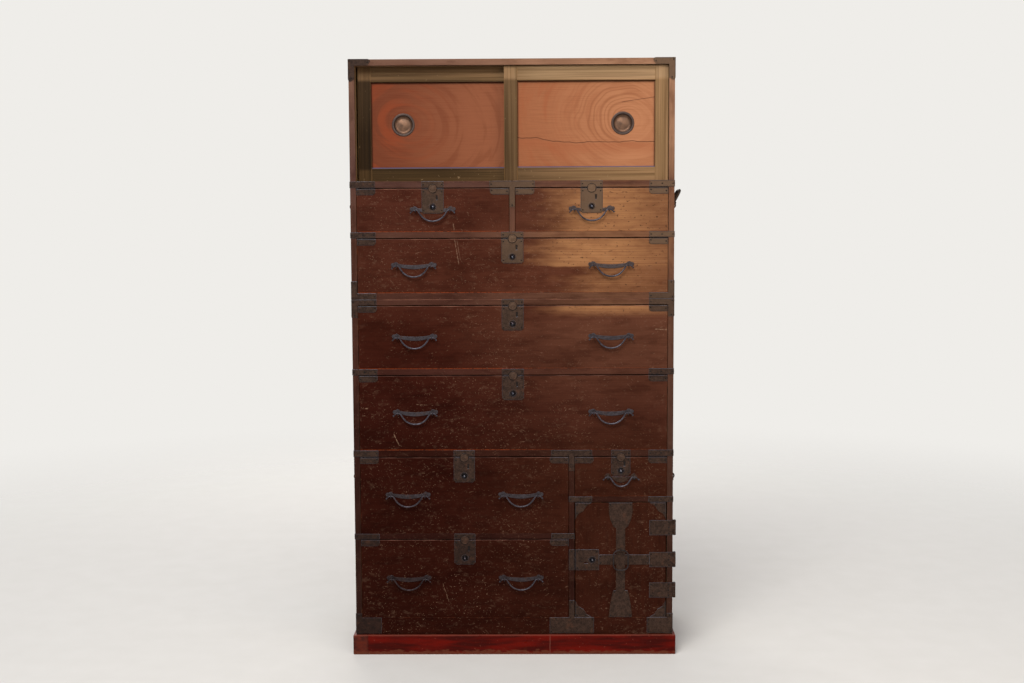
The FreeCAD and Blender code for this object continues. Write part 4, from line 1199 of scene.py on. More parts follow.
    def brighten(self, slot: int) -> None:
        """Give the eased edges that look up and forward another finish, a painted highlight where light from
        above catches them; on wood it also shows the lacquer rubbed off.
        """
        for face in self.bm.faces:
            if 0.3 < face.normal.z < 0.96 and face.normal.y < -0.2:
                face.material_index = slot

    def nail(self, outlines: Iterable[Outline]) -> None:
        """Drive nails near the corners of some plates' faces."""
        for outline in outlines:
            for spot in nail_spots(outline):
                self.nail_head(spot, outline.way)

    def nail_head(self, spot: Vector, way: Way, radius: float = 2.2) -> None:
        """Add one domed nail head; nails take the second finish."""
        profile = [(0.0, 0.9), (radius * 0.6, 0.72), (radius, 0.0)]
        self.lathe(spot, profile, way, 8, slot=1)

    def nail_corners(self, across: Span, depth: float, heights: Span) -> None:
        """Drive a nail into each corner of a lock plate."""
        for x in across:
            for z in heights:
                self.nail_head(Vector((x, depth, z)), Way.FRONT)

    def hand_over(self, body: str, slot: str, *nodes: str) -> bpy.types.Object:
        """Finish the piece in metres and put it on its body.

        Args:
            body: The CAD body that it rides on.
            slot: Not used.
            nodes: The CAD nodes that it stands for.

        Returns:
            The piece.
        """
        self.bm.verts.layers.int.remove(self.part)
        mesh = bpy.data.meshes.new(self.name)
        self.bm.to_mesh(mesh)
        self.bm.free()
        mesh.transform(Matrix.Scale(1 / METRE, 4))
        for finish in self.finishes:
            mesh.materials.append(Finishes.of(finish))
        piece = put_in_scene(self.name, mesh)
        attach(piece, body)
        if nodes:
            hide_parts(*nodes)
        LOG.info("%s: %d faces on %s", self.name, len(mesh.polygons), body)
        return piece


def visible_faces(island: Sequence[Vert], low: Vector, high: Vector) -> list[Outline]:
    """Find a plate's flat faces that look forward, out at a side, or up at the very top.

    Args:
        island: The plate's points.
        low: Its lowest corner.
        high: Its highest corner.

    Returns:
        The faces' outlines.
    """
    found = []
    outward = Way.RIGHT if high.x > 0 else Way.LEFT
    for face in faces_of(island):
        for way in (Way.FRONT, outward, Way.UP):
            if face.normal.dot(way.value) < 0.99 or face.calc_area() < SMALLEST_NAILED:
                continue
            outermost = max(low.dot(way.value), high.dot(way.value))
            if face.verts[0].co.dot(way.value) > outermost - 0.1:
                found.append(Outline(way, tuple(vert.co.copy() for vert in face.verts), low, high))
    return found


def nail_spots(outline: Outline, inset: float = 5.2, nearest: float = 11.0) -> list[Vector]:
    """Place nails inside the outward corners of a face.

    Args:
        outline: The face.
        inset: How far a nail sits from both sides of its corner.
        nearest: Nails closer than this become one between them.

    Returns:
        The nails' places.
    """
    normal, corners = outline.way.value, outline.corners
    spots: list[Vector] = []
    for index, corner in enumerate(corners):
        incoming = (corner - corners[index - 1]).normalized()
        outgoing = (corners[(index + 1) % len(corners)] - corner).normalized()
        turn = math.atan2(incoming.cross(outgoing).dot(normal), incoming.dot(outgoing))
        if turn < math.radians(40):
            continue
        inward = (outgoing - incoming).normalized()
        spots.append(corner + inward * (inset / max(math.cos(turn / 2), 0.3)))
    merged: list[Vector] = []
    for spot in spots:
        for index, other in enumerate(merged):
            if (spot - other).length < nearest:
                merged[index] = (spot + other) / 2
                break
        else:
            merged.append(spot)
    if len(merged) == 2 and (merged[0] - merged[1]).length > NAIL_ROW:
        merged.append((merged[0] + merged[1]) / 2)
    return merged


@dataclass(frozen=True)
class Levels:
    """The chest's main planes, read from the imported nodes, and what all boards share."""

    floor_gap: float = 0.3
    head_gap: float = 2.8
    side_gap: float = 1.2
    side_board: float = 16.5
    rail_depth: float = 48.0
    runner_width: float = 22.0
    runner_height: float = 12.0
    eased: float = 0.9

    @property
    def front(self) -> float:
        """The plane of the cases' front edges."""
        return limits("upper_side_boards")[0].y

    @property
    def inner_rear(self) -> float:
        """The plane of the back planks' inner faces."""
        return limits("upper_side_boards")[1].y

    @property
    def half_width(self) -> float:
        """Half of the cases' width."""
        return limits("upper_side_boards")[1].x

    @property
    def inner_half(self) -> float:
        """Half of the width between the side boards."""
        return self.half_width - self.side_board

    def bay(self, drawer: str) -> tuple[float, float, float, float]:
        """Return a drawer bay's left, right, floor and ceiling."""
        low, high = limits(drawer)
        return (low.x - self.side_gap, high.x + self.side_gap,
                low.z - self.floor_gap, high.z + self.head_gap)


LEVELS = Levels()


@dataclass(frozen=True)
class Plinth:
    """The frame that the chest stands on; its left beam's end shows in front."""

    front_board: float = 26.0
    beam: float = 42.0
    back_board: float = 26.0
    eased: float = 1.6
    eased_back: float = 1.2

    def build(self) -> None:
        """Build the four boards."""
        low, high = limits("plinth_frame")
        piece = Workpiece("plinth", Finishes.plinth)
        joint, left, right = low.y + self.front_board, low.x + self.beam, high.x - self.beam
        piece.block(low, (left, high.y, high.z), self.eased)
        piece.block((left, low.y, 0), (high.x, joint, high.z), self.eased)
        piece.block((right, joint, 0), high, self.eased)
        piece.block((left, high.y - self.back_board, 0), (right, high.y, high.z), self.eased_back)
        piece.hand_over("chest", "plinth_lacquer", "plinth_frame")


@dataclass(frozen=True)
class Casework:
    """The boards of both cases."""

    bottom_rail: float = 20.0
    bottom_board: float = 16.0
    divider: float = 15.5
    sill_groove: float = 3.5
    groove_gap: float = 0.3
    tongue: float = 8.0
    setback: float = 8.0
    door_board: float = 18.0
    door_gap: float = 2.5
    planks: int = 5
    base_below: float = 500.0

    def build(self) -> None:
        """Build every board that stays still."""
        outside = (Way.FRONT, Way.RIGHT, Way.LEFT, Way.UP)
        for level in ("lower", "upper"):
            piece = Workpiece(level + "_sides", Finishes.case, Finishes.bare)
            piece.forge(level + "_side_boards", bevel=LEVELS.eased, boards=True)
            self.bare_inside(piece)
            piece.hand_over("chest", "case_wood", level + "_side_boards")
        self.build_jointed(outside)
        self.build_lower_rails()
        self.build_upper_rails()
        self.build_backs()

    def bare_inside(self, piece: Workpiece) -> None:
        """Leave the side boards' inner faces bare."""
        for face in piece.bm.faces:
            middle = face.calc_center_median()
            if abs(face.normal.x) > 0.9 and face.normal.x * middle.x < 0:
                face.material_index = 1

    def build_jointed(self, outside: Sequence[Way]) -> None:
        """Build the boards that are finger-jointed to the sides, and the bottom rail.

        Args:
            outside: The ways in which the lacquered sides look.
        """
        front, rear, inner = LEVELS.front, LEVELS.inner_rear, LEVELS.inner_half
        floor = LEVELS.bay("left_drawer_5")[2]
        base = limits("lower_side_boards")[0].z
        lower = Workpiece("lower_top_and_base", Finishes.case, Finishes.bare, Finishes.drawer,
                          Finishes.worn_glint_line)
        lower.forge("lower_top_and_bottom", lambda low, high: high.z < self.base_below, LEVELS.eased,
                    True, outside)
        lower.brighten(3)
        behind = front + self.bottom_rail
        lower.block((-inner, front, base), (inner, behind, floor), LEVELS.eased, slot=2)
        lower.block((-inner, behind, floor - self.bottom_board), (inner, rear, floor), slot=1)
        lower.hand_over("chest", "red_lacquer", "lower_top_and_bottom")
        upper = Workpiece("upper_top_and_base", Finishes.case, Finishes.bare)
        upper.forge("upper_top_and_bottom", bevel=LEVELS.eased, boards=True, shown=outside)
        upper.hand_over("chest", "case_wood", "upper_top_and_bottom")

    def rail(self, piece: Workpiece, left: float, right: float, low: float, high: float) -> None:
        """Add a front rail."""
        front = LEVELS.front
        piece.block((left, front, low), (right, front + LEVELS.rail_depth, high), LEVELS.eased, (Way.FRONT,))

    def runners(self, piece: Workpiece, left: float, right: float, top: float) -> None:
        """Add the runners at both sides of a bay."""
        back, low = LEVELS.front + LEVELS.rail_depth, top - LEVELS.runner_height
        for x in (left, right - LEVELS.runner_width):
            piece.block((x, back, low), (x + LEVELS.runner_width, LEVELS.inner_rear, top), slot=1)

    def build_lower_rails(self) -> None:
        """Build the lower case's rails, partition and runners."""
        front, rear, inner = LEVELS.front, LEVELS.inner_rear, LEVELS.inner_half
        piece = Workpiece("lower_rails", Finishes.rail, Finishes.bare)
        _, left_end, floor, five_head = LEVELS.bay("left_drawer_5")
        _, _, four_floor, four_head = LEVELS.bay("left_drawer_4")
        right_start, _, safe_floor, _ = LEVELS.bay("safe_drawer")
        _, _, three_floor, three_head = LEVELS.bay("wide_drawer_3")
        _, _, two_floor, _ = LEVELS.bay("wide_drawer_2")
        door_head = safe_floor - (four_floor - five_head)
        piece.block((left_end, front, floor), (right_start, rear, four_head), LEVELS.eased, (Way.FRONT,),
                    Way.UP)
        rails = ((-inner, inner, three_head, two_floor), (-inner, inner, four_head, three_floor),
                 (-inner, left_end, five_head, four_floor), (right_start, inner, door_head, safe_floor))
        for left, right, low, high in rails:
            self.rail(piece, left, right, low, high)
        for left, right, _, high in rails:
            self.runners(piece, left, right, high)
        piece.block((left_end, front + LEVELS.rail_depth, four_head), (right_start, rear, three_floor),
                    slot=1)
        piece.hand_over("chest", "red_lacquer", "lower_dividers")

    def build_upper_rails(self) -> None:
        """Build the upper case's sill, rail, divider and runners."""
        front, rear, inner = LEVELS.front, LEVELS.inner_rear, LEVELS.inner_half
        piece = Workpiece("upper_rails", Finishes.case, Finishes.bare)
        _, _, small_floor, small_head = LEVELS.bay("small_drawer_left")
        _, _, _, wide_head = LEVELS.bay("wide_drawer_1")
        sill_top = limits("sliding_door_left")[0].z + self.sill_groove - self.groove_gap
        low = sill_top - self.sill_groove
        piece.block((-inner, front, small_head), (inner, rear, low), LEVELS.eased, (Way.FRONT,))
        edge = front
        for index in (0, 1):
            middle = front + self.setback + self.door_board / 2 + index * (self.door_board + self.door_gap)
            half = self.tongue / 2 + self.groove_gap
            piece.block((-inner, edge, low), (inner, middle - half, sill_top), shown=(Way.FRONT, Way.UP))
            edge = middle + half
        piece.block((-inner, edge, low), (inner, rear, sill_top), slot=1)
        self.rail(piece, -inner, inner, wide_head, small_floor)
        half = self.divider / 2
        piece.block((-half, front, small_floor), (half, rear, small_head), LEVELS.eased, (Way.FRONT,), Way.UP)
        self.runners(piece, -inner, inner, small_floor)
        back = front + LEVELS.rail_depth
        piece.block((-half - LEVELS.runner_width, back, small_floor - LEVELS.runner_height),
                    (half + LEVELS.runner_width, rear, small_floor), slot=1)
        piece.hand_over("chest", "case_wood", "upper_dividers")

    def build_backs(self) -> None:
        """Build the upright planks of both backs."""
        for level in ("lower", "upper"):
            low, high = limits(level + "_back_planks")
            piece = Workpiece(level + "_back", Finishes.plank)
            step = (high.x - low.x) / self.planks
            for index in range(self.planks):
                left = low.x + index * step
                piece.block((left, low.y, low.z), (left + step, high.y, high.z), LEVELS.eased)
            piece.hand_over("chest", "bare_planks", level + "_back_planks")


@dataclass(frozen=True)
class EyeLoop:
    """A bent iron eye that holds a bail."""

    ring: float
    bar: float
    shank: float
    flare: float = 0.9
    flare_height: float = 1.4

    def build(self, piece: Workpiece, centre: Vector, out: Way, reach: float, slot: int = 0) -> None:
        """Add an eye.

        Args:
            piece: The piece that it belongs to.
            centre: The middle of its ring.
            out: The way it stands out of its plate.
            reach: How far its ring's middle is from the plate.
            slot: The number of its finish.
        """
        across = Way.RIGHT if out is Way.FRONT else Way.FRONT
        round_bar = [(self.ring + self.bar * math.cos(a), self.bar * math.sin(a))
                     for a in (math.tau * step / 8 for step in range(8))]
        piece.lathe(centre, round_bar, across, 20, closed=True, slot=slot)
        foot = centre - out.value * reach
        end = reach - self.ring
        profile = [(0.0, 0.0), (self.shank + self.flare, 0.0), (self.shank, self.flare_height),
                   (self.shank, end), (0.0, end)]
        piece.lathe(foot, profile, out, 12, slot=slot)


SMALL_EYE = EyeLoop(4.7, 1.4, 1.7)
RING_EYE = EyeLoop(4.6, 1.4, 1.7)
HANDLE_EYE = EyeLoop(7.6, 2.2, 3.2)
HANDLE_SPAN = 116.0
HANDLE_STANDOFF = 14.0


@dataclass(frozen=True, kw_only=True)
class HookedBar:
    """A bar that hangs in two eyes and whose hooked ends carry balls."""

    span: float
    drop: float
    bar: float
    bend: float
    slope: float
    tip_slope: float
    tip: float
    tip_inset: float
    tip_ball: float
    straight: float

    @property
    def inner(self) -> float:
        """How far from the middle the bar starts to slope down."""
        return self.span / 2 - self.straight - self.bend * math.tan(math.radians(self.slope) / 2)

    def left_end(self) -> list[Vector]:
        """Return the corners of the left tip and of the bends on both sides of its eye."""
        tip_slope, reach = math.radians(self.tip_slope), self.tip - self.tip_inset
        outer = self.span / 2 + self.straight + self.bend * math.tan(tip_slope / 2)
        tip = at(-outer - reach * math.cos(tip_slope), -reach * math.sin(tip_slope))
        return [tip, at(-outer, 0), at(-self.inner, 0)]

    def add_balls(self, piece: Workpiece, ends: Iterable[Vector], steps: int) -> None:
        """Add the balls at the bar's ends."""
        for end in ends:
            piece.lathe(end, ball(self.tip_ball), Way.FRONT, steps)


@dataclass(frozen=True)
class KeySlot:
    """A lock's key slot, worn wider than it was cut, with a dark board behind it as painted shade inside the
    lock.
    """

    reach_across: float = 3.4
    reach_up: float = 7.0
    near: float = 0.1
    wider: float = 1.6
    flare: float = 0.05
    taller: float = 1.35
    shade_half: float = 5.0
    shade_half_height: float = 9.0
    shade_front: float = 0.4
    shade_rear: float = 0.1
    eased: float = 0.1

    def build(self, piece: Workpiece, key: Vector) -> None:
        """Widen the slot and put a dark board behind it as painted shade.

        Args:
            piece: The piece that the slot is cut in.
            key: The slot's middle, in the plane behind the lock plate.
        """
        for vert in piece.bm.verts:
            across, up = vert.co.x - key.x, vert.co.z - key.z
            inside = abs(across) < self.reach_across and abs(up) < self.reach_up
            if inside and vert.co.y < key.y + self.near:
                vert.co.x = key.x + across * (self.wider + self.flare * up)
                vert.co.z = key.z + up * self.taller
        # Painted shade: a dark board seen through the slot.
        piece.block((key.x - self.shade_half, key.y - self.shade_front, key.z - self.shade_half_height),
                    (key.x + self.shade_half, key.y - self.shade_rear, key.z + self.shade_half_height),
                    self.eased, slot=1)


@dataclass(frozen=True, kw_only=True)
class Pull(HookedBar):
    """A drawer's bail and the plate behind it."""

    style: PullStyle
    bar: float = 4.8
    bend: float = 4.5
    slope: float = 57.0
    tip_slope: float = 42.0
    tip: float = 11.5
    tip_inset: float = 1.5
    tip_ball: float = 2.7
    tip_end: float = 0.9
    straight: float = 3.6
    standoff: float = 10.0
    plate: float = 1.4
    thinnest: float = 0.78
    thickens: float = 2.2

    def path(self) -> list[Vector]:
        """Return the hanging bail's middle line, its eyes on the X axis."""
        slope = math.radians(self.slope)
        depth = self.inner * math.tan(slope)
        belly = (depth - self.drop) / (1 / math.cos(slope) - 1)
        left = self.left_end()
        right = [at(-point.x, point.z) for point in reversed(left)]
        return rounded([*left, at(0, -depth), *right], [self.bend, self.bend, belly, self.bend, self.bend])

    def build_bail(self, name: str) -> None:
        """Build the bail that stands for its CAD node.

        Args:
            name: The bail's node and body.
        """
        hang, path = hang_point(name, self.bar), self.path()
        radii = []
        for point in path:
            inside = max(0.0, 1 - abs(point.x) / (self.span / 2))
            share = self.thinnest + (1 - self.thinnest) * min(1.0, inside * self.thickens)
            radii.append(self.bar / 2 * share)
        radii[0] = radii[-1] = self.tip_end
        piece = Workpiece(name + "_bail", Finishes.bail)
        piece.sweep(path, radii, 12, Matrix.Translation(hang))
        self.add_balls(piece, (hang + path[0], hang + path[-1]), 14)
        piece.hand_over(name, "iron_bail", name)

    def plate_outline(self) -> list[Vector]:
        """Return the plate's outline about the middle of the bail's eyes."""
        lobe, end = self.span / 2, self.span / 2 + 15.5
        right = arc(at(lobe - 5.5, 6.2), at(lobe + 1.5, 11.0), at(lobe + 8.2, 8.2), 8)
        right += arc(at(lobe + 8.2, 8.2), at(end - 1.2, 7.2), at(end, 1.8), 6)[1:]
        right += arc(at(end, 1.8), at(end - 3.5, -3.0), at(lobe + 5.5, -1.6), 6)[1:]
        right.append(at(lobe - 4, -1.6))
        below = arc(right[-1], at(0, -9.0), at(-right[-1].x, right[-1].z), 18)[1:-1]
        left = [at(-point.x, point.z) for point in reversed(right)]
        above = arc(left[-1], at(0, 2.6), right[0], 18)[1:-1]
        return right + below + left + above


@dataclass(frozen=True)
class Drawer:
    """One drawer: its boards, its lock and its pulls."""

    name: str
    lock_width: float
    lock_height: float
    pulls: tuple[str, ...]
    pull: Pull
    front_board: float = 20.0
    wall: float = 9.0
    bottom: float = 7.0
    wall_drop: float = 6.0
    lap: float = 9.0
    plate: float = 1.6
    eased: float = 1.1
    key_across_share: float = 0.19
    key_down_share: float = 0.35
    dim_glint_below: float = 700.0
    proud: float = 0.05
    lap_gap: float = 0.2
    flush: float = 0.1
    slack: float = 0.5
    nail_inset: float = 6.0
    nail_drop: float = 7.5
    nail_rise: float = 8.0
    bowl_half: float = 27.0
    bowl_drop: float = 16.5
    disc: tuple[Span, ...] = ((0.0, 1.3), (7.6, 1.15), (8.4, 0.9), (9.2, 1.2), (10.8, 1.75), (11.6, 1.2),
                              (12.0, 0.0))
    # A dark ring round the disc: painted shadow where the disc meets the plate.
    disc_shadow_ring: tuple[Span, ...] = ((12.0, 0.0), (12.0, 0.25), (13.1, 0.25), (13.3, 0.0))
    eye_seat: tuple[Span, ...] = ((0.0, 1.4), (6.4, 1.4), (7.4, 1.0), (8.2, 1.3), (9.0, 0.0))

    def build(self) -> None:
        """Build the whole drawer."""
        low, high = limits(self.name)
        self.build_boards(low, high)
        self.build_iron(high.z)
        LockButton(self.name + "_button").build()
        for suffix in self.pulls:
            self.pull.build_bail(self.name + suffix)

    def build_boards(self, low: Vector, high: Vector) -> None:
        """Build the front, the walls and the bottom.

        Args:
            low: The drawer's lowest corner.
            high: Its highest corner.
        """
        # Drawers low down take a dimmer line, as its painted highlight is weaker there.
        line = Finishes.worn_glint_line if low.z > self.dim_glint_below else Finishes.worn_glint_line_low
        piece = Workpiece(self.name + "_box", Finishes.drawer, Finishes.bare, line)
        face = low.y + self.front_board
        lap, top, foot = face - self.lap, high.z - self.wall_drop, low.z + self.bottom
        piece.block(low, (high.x, face, high.z), self.eased, (Way.FRONT, Way.UP), Way.RIGHT)
        piece.brighten(2)
        inner_left, inner_right = low.x + self.wall, high.x - self.wall
        for left, right in ((low.x, inner_left), (inner_right, high.x)):
            piece.block((left - self.proud, lap + self.lap_gap, foot), (right + self.proud, high.y, top),
                        slot=1)
        piece.block((inner_left, high.y - self.wall, foot), (inner_right, high.y, top), slot=1)
        piece.block((low.x, face, low.z), (high.x, high.y, foot), slot=1)
        piece.hand_over(self.name, "red_lacquer", self.name)

    def build_iron(self, top: float) -> None:
        """Build the lock plate, the corner plates and what holds the bails.

        Args:
            top: The height of the drawer's top edge.
        """
        front = LEVELS.front
        button, half, face = middle_of(self.name + "_button"), self.lock_width / 2, front - self.plate
        piece = Workpiece(self.name + "_fittings", Finishes.plate, Finishes.nail, Finishes.glint,
                          Finishes.boss, Finishes.seat)

        def made_elsewhere(low: Vector, high: Vector) -> bool:
            """Say whether a solid is a disc, a pull's seat or the lock inside the drawer."""
            return abs(high.z - top) > self.flush or low.y > front

        plates = piece.forge(self.name + "_iron", made_elsewhere)
        KeySlot().build(piece, Vector((button.x + self.key_across_share * self.lock_width, front,
                                       top - self.key_down_share * self.lock_height)))
        piece.nail(plate for plate in plates if plate.way is Way.FRONT
                   and plate.high.x - plate.low.x < self.lock_width - self.slack
                   and abs((plate.low.x + plate.high.x) / 2 - button.x) > half)
        piece.nail_corners((button.x - half + self.nail_inset, button.x + half - self.nail_inset), face,
                           (top - self.nail_drop, top - self.lock_height + self.nail_rise))
        for profile, slot in ((self.disc, 3), (self.disc_shadow_ring, 1)):
            piece.lathe(Vector((button.x, face, top)), profile, Way.FRONT, 32, slot=slot)
        Escutcheon().build(piece, Vector((button.x, face, button.z)))
        for suffix in self.pulls:
            self.build_seat(piece, self.name + suffix)
        piece.hand_over(self.name, "iron_plate", self.name + "_iron")

    def build_seat(self, piece: Workpiece, node: str) -> None:
        """Add one pull's plate and its two eyes.

        Args:
            piece: The piece that they belong to.
            node: The pull's CAD node.
        """
        x, _, z = hang_point(node, self.pull.bar)
        front, eyes = LEVELS.front, (x - self.pull.span / 2, x + self.pull.span / 2)
        if self.pull.style is PullStyle.MOUSTACHE:
            outline = [at(x + point.x, z + point.z) for point in self.pull.plate_outline()]
            piece.plate(outline, front, self.pull.plate, 0.45, slot=4)
        else:
            bowl = arc(at(x + self.bowl_half, z), at(x, z - self.bowl_drop), at(x - self.bowl_half, z), 20)
            piece.plate(bowl, front, self.pull.plate, 0.45)
            for eye in eyes:
                piece.lathe(Vector((eye, front, z)), self.eye_seat, Way.FRONT, 24)
        for eye in eyes:
            centre = Vector((eye, front - self.pull.standoff, z))
            SMALL_EYE.build(piece, centre, Way.FRONT, self.pull.standoff - self.pull.plate, 4)


@dataclass(frozen=True)
class Escutcheon:
    """The ring of rays round a lock's button."""

    inner: float = 6.9
    outer: float = 11.4
    collar: tuple[Span, ...] = ((0.0, 0.0), (0.0, 1.0), (0.5, 1.3), (1.1, 0.9), (1.3, 0.0))
    rays: int = 18
    ray_start: float = 1.2
    ray_point: float = 0.6
    ray_half: float = 0.75
    ray_narrow_share: float = 0.6
    height: float = 0.7
    eased: float = 0.25

    def build(self, piece: Workpiece, centre: Vector) -> None:
        """Add the ring and its rays.

        Args:
            piece: The piece that they belong to.
            centre: The middle of the button, in the plate's front plane.
        """
        collar = [(self.inner + outward, height) for outward, height in self.collar]
        piece.lathe(centre, collar, Way.FRONT, 28, slot=1)
        start, shoulder = self.inner + self.ray_start, self.outer - self.ray_point
        narrow = self.ray_half * self.ray_narrow_share
        outline = [at(start, -narrow), at(shoulder, -self.ray_half), at(self.outer, 0),
                   at(shoulder, self.ray_half), at(start, narrow)]
        for ray in range(self.rays):
            turn = Matrix.Translation(centre) @ Matrix.Rotation(math.tau * ray / self.rays, 4, "Y")
            piece.plate(outline, 0, self.height, self.eased, turn)


@dataclass(frozen=True)
class LockButton:
    """A lock's round push button with a polished middle that carries a painted highlight."""

    node: str
    radius: float = 6.0
    front: tuple[Span, ...] = ((0.0, 1.6), (0.7, 0.9), (1.9, 0.9), (2.3, 1.5), (3.0, 0.7), (4.4, 0.1))

    def build(self) -> None:
        """Build the button; its front is given as pairs of inset and sinking."""
        low, high = limits(self.node)
        centre = Vector(((low.x + high.x) / 2, high.y, (low.z + high.z) / 2))
        depth, polished = high.y - low.y, self.radius - self.front[-1][0]
        piece = Workpiece(self.node + "_cap", Finishes.button, Finishes.button_glint)
        profile = [(0.0, 0.0), (self.radius, 0.0)]
        profile += [(self.radius - inset, depth - sunk) for inset, sunk in self.front]
        piece.lathe(centre, [*profile, (0.0, depth)], Way.FRONT, 32)
        for face in piece.bm.faces:
            if (face.calc_center_median() - centre).xz.length < polished and face.normal.y < -0.3:
                face.material_index = 1
        piece.hand_over(self.node, "lock_button", self.node)


@dataclass(frozen=True)
class CaseIron:
    """The straps, brackets, hinge leaves and handle seats on both cases."""

    seat_reach: float = 90.0
    pin_below: float = 5.0
    pin_clear: float = 2.0
    seat_thick: float = 2.0
    pin: float = 2.4
    rosette: tuple[Span, ...] = ((0.0, 3.2), (5.0, 3.0), (8.0, 1.4), (9.5, 2.0), (15.5, 2.0), (17.5, 1.4),
                                 (18.2, 1.7), (19.0, 0.0))
    pin_head: tuple[Span, ...] = ((0.0, 1.6), (2.2, 1.2), (3.4, 0.0), (0.0, -3.0))

    def build(self) -> None:
        """Build the iron of the lower and the upper case."""
        middle = (LEVELS.front + limits("upper_back_planks")[1].y) / 2
        half = LEVELS.half_width

        def on_the_side(low: Vector, high: Vector) -> bool:
            """Say whether a solid is part of a handle's seat or a hinge's pin."""
            seat = low.y > middle - self.seat_reach and max(abs(low.x), abs(high.x)) > half
            pin = high.x - low.x < self.pin_below and low.x > half + self.pin_clear
            return seat or pin

        for level in ("lower", "upper"):
            piece = Workpiece(level + "_straps", Finishes.plate, Finishes.nail, Finishes.glint)
            piece.nail(piece.forge(level + "_case_iron", on_the_side))
            for side in (Way.LEFT, Way.RIGHT):
                self.build_seats(piece, Grip.height(level), side, middle)
            if level == "lower":
                self.build_hinges(piece)
            piece.hand_over("chest", "iron_plate", level + "_case_iron")

    def build_seats(self, piece: Workpiece, height: float, side: Way, middle: float) -> None:
        """Add a carrying handle's two rosettes and eyes.

        Args:
            piece: The piece that they belong to.
            height: The height of the handle's eyes.
            side: The side of the chest.
            middle: The depth halfway between the eyes.
        """
        for y in (middle - HANDLE_SPAN / 2, middle + HANDLE_SPAN / 2):
            foot = side.value * LEVELS.half_width + Vector((0, y, height))
            piece.lathe(foot, self.rosette, side, 36)
            centre = foot + side.value * HANDLE_STANDOFF
            HANDLE_EYE.build(piece, centre, side, HANDLE_STANDOFF - self.seat_thick)

    def build_hinges(self, piece: Workpiece) -> None:
        """Add the hinges' pins with their domed heads.

        Args:
            piece: The piece that they belong to.
        """
        for low, high in HingedDoor.hinges():
            foot, head = HingedDoor.axis(low), HingedDoor.axis(high)
            piece.lathe(head, self.pin_head, Way.UP, 20)
            piece.lathe(foot, self.pin_head, Way.DOWN, 20)
            pin = [(0.0, 0.0), (self.pin, 0.0), (self.pin, high - low), (0.0, high - low)]
            piece.lathe(foot, pin, Way.UP, 20)


@dataclass(frozen=True, kw_only=True)
class Grip(HookedBar):
    """A forged carrying handle on a side of the chest."""

    node: str
    raised: float = 0.0
    span: float = HANDLE_SPAN
    drop: float = 50.0
    bar: float = 9.0
    bend: float = 9.0
    corner: float = 20.0
    slope: float = 80.0
    tip_slope: float = 35.0
    tip: float = 15.0
    tip_inset: float = 2.0
    tip_ball: float = 4.6
    straight: float = 5.6
    thinnest: float = 0.82
    thickens: float = 1.5

    @classmethod
    def height(cls, level: str) -> float:
        """Return the height of the handles' eyes on a case, read from its hanging left handle."""
        return limits(f"{level}_handle_left")[1].z - cls.bar / 2

    def build(self) -> None:
        """Build the handle."""
        place = middle_of(self.node)
        side, level = math.copysign(1, place.x), self.node.split("_")[0]
        seat = Vector((side * (LEVELS.half_width + HANDLE_STANDOFF), place.y, self.height(level)))
        corner = at(self.drop / math.tan(math.radians(self.slope)) - self.inner, -self.drop)
        left = [*self.left_end(), corner]
        points = left + [at(-point.x, point.z) for point in reversed(left)]
        path = rounded(points, [self.bend, self.bend, self.corner, self.corner, self.bend, self.bend])
        shares = (max(0.0, min(1.0, -point.z / self.drop * self.thickens)) for point in path)
        radii = [self.bar / 2 * (self.thinnest + (1 - self.thinnest) * share) for share in shares]
        turn = Matrix.Translation(seat) @ Matrix.Rotation(math.radians(90 * side), 4, "Z")
        turn = turn @ Matrix.Rotation(math.radians(-self.raised), 4, "X")
        piece = Workpiece(self.node + "_grip", Finishes.grip)
        piece.sweep(path, radii, 14, turn)
        self.add_balls(piece, (turn @ path[0], turn @ path[-1]), 16)
        piece.hand_over(self.node, "iron_handle", self.node)


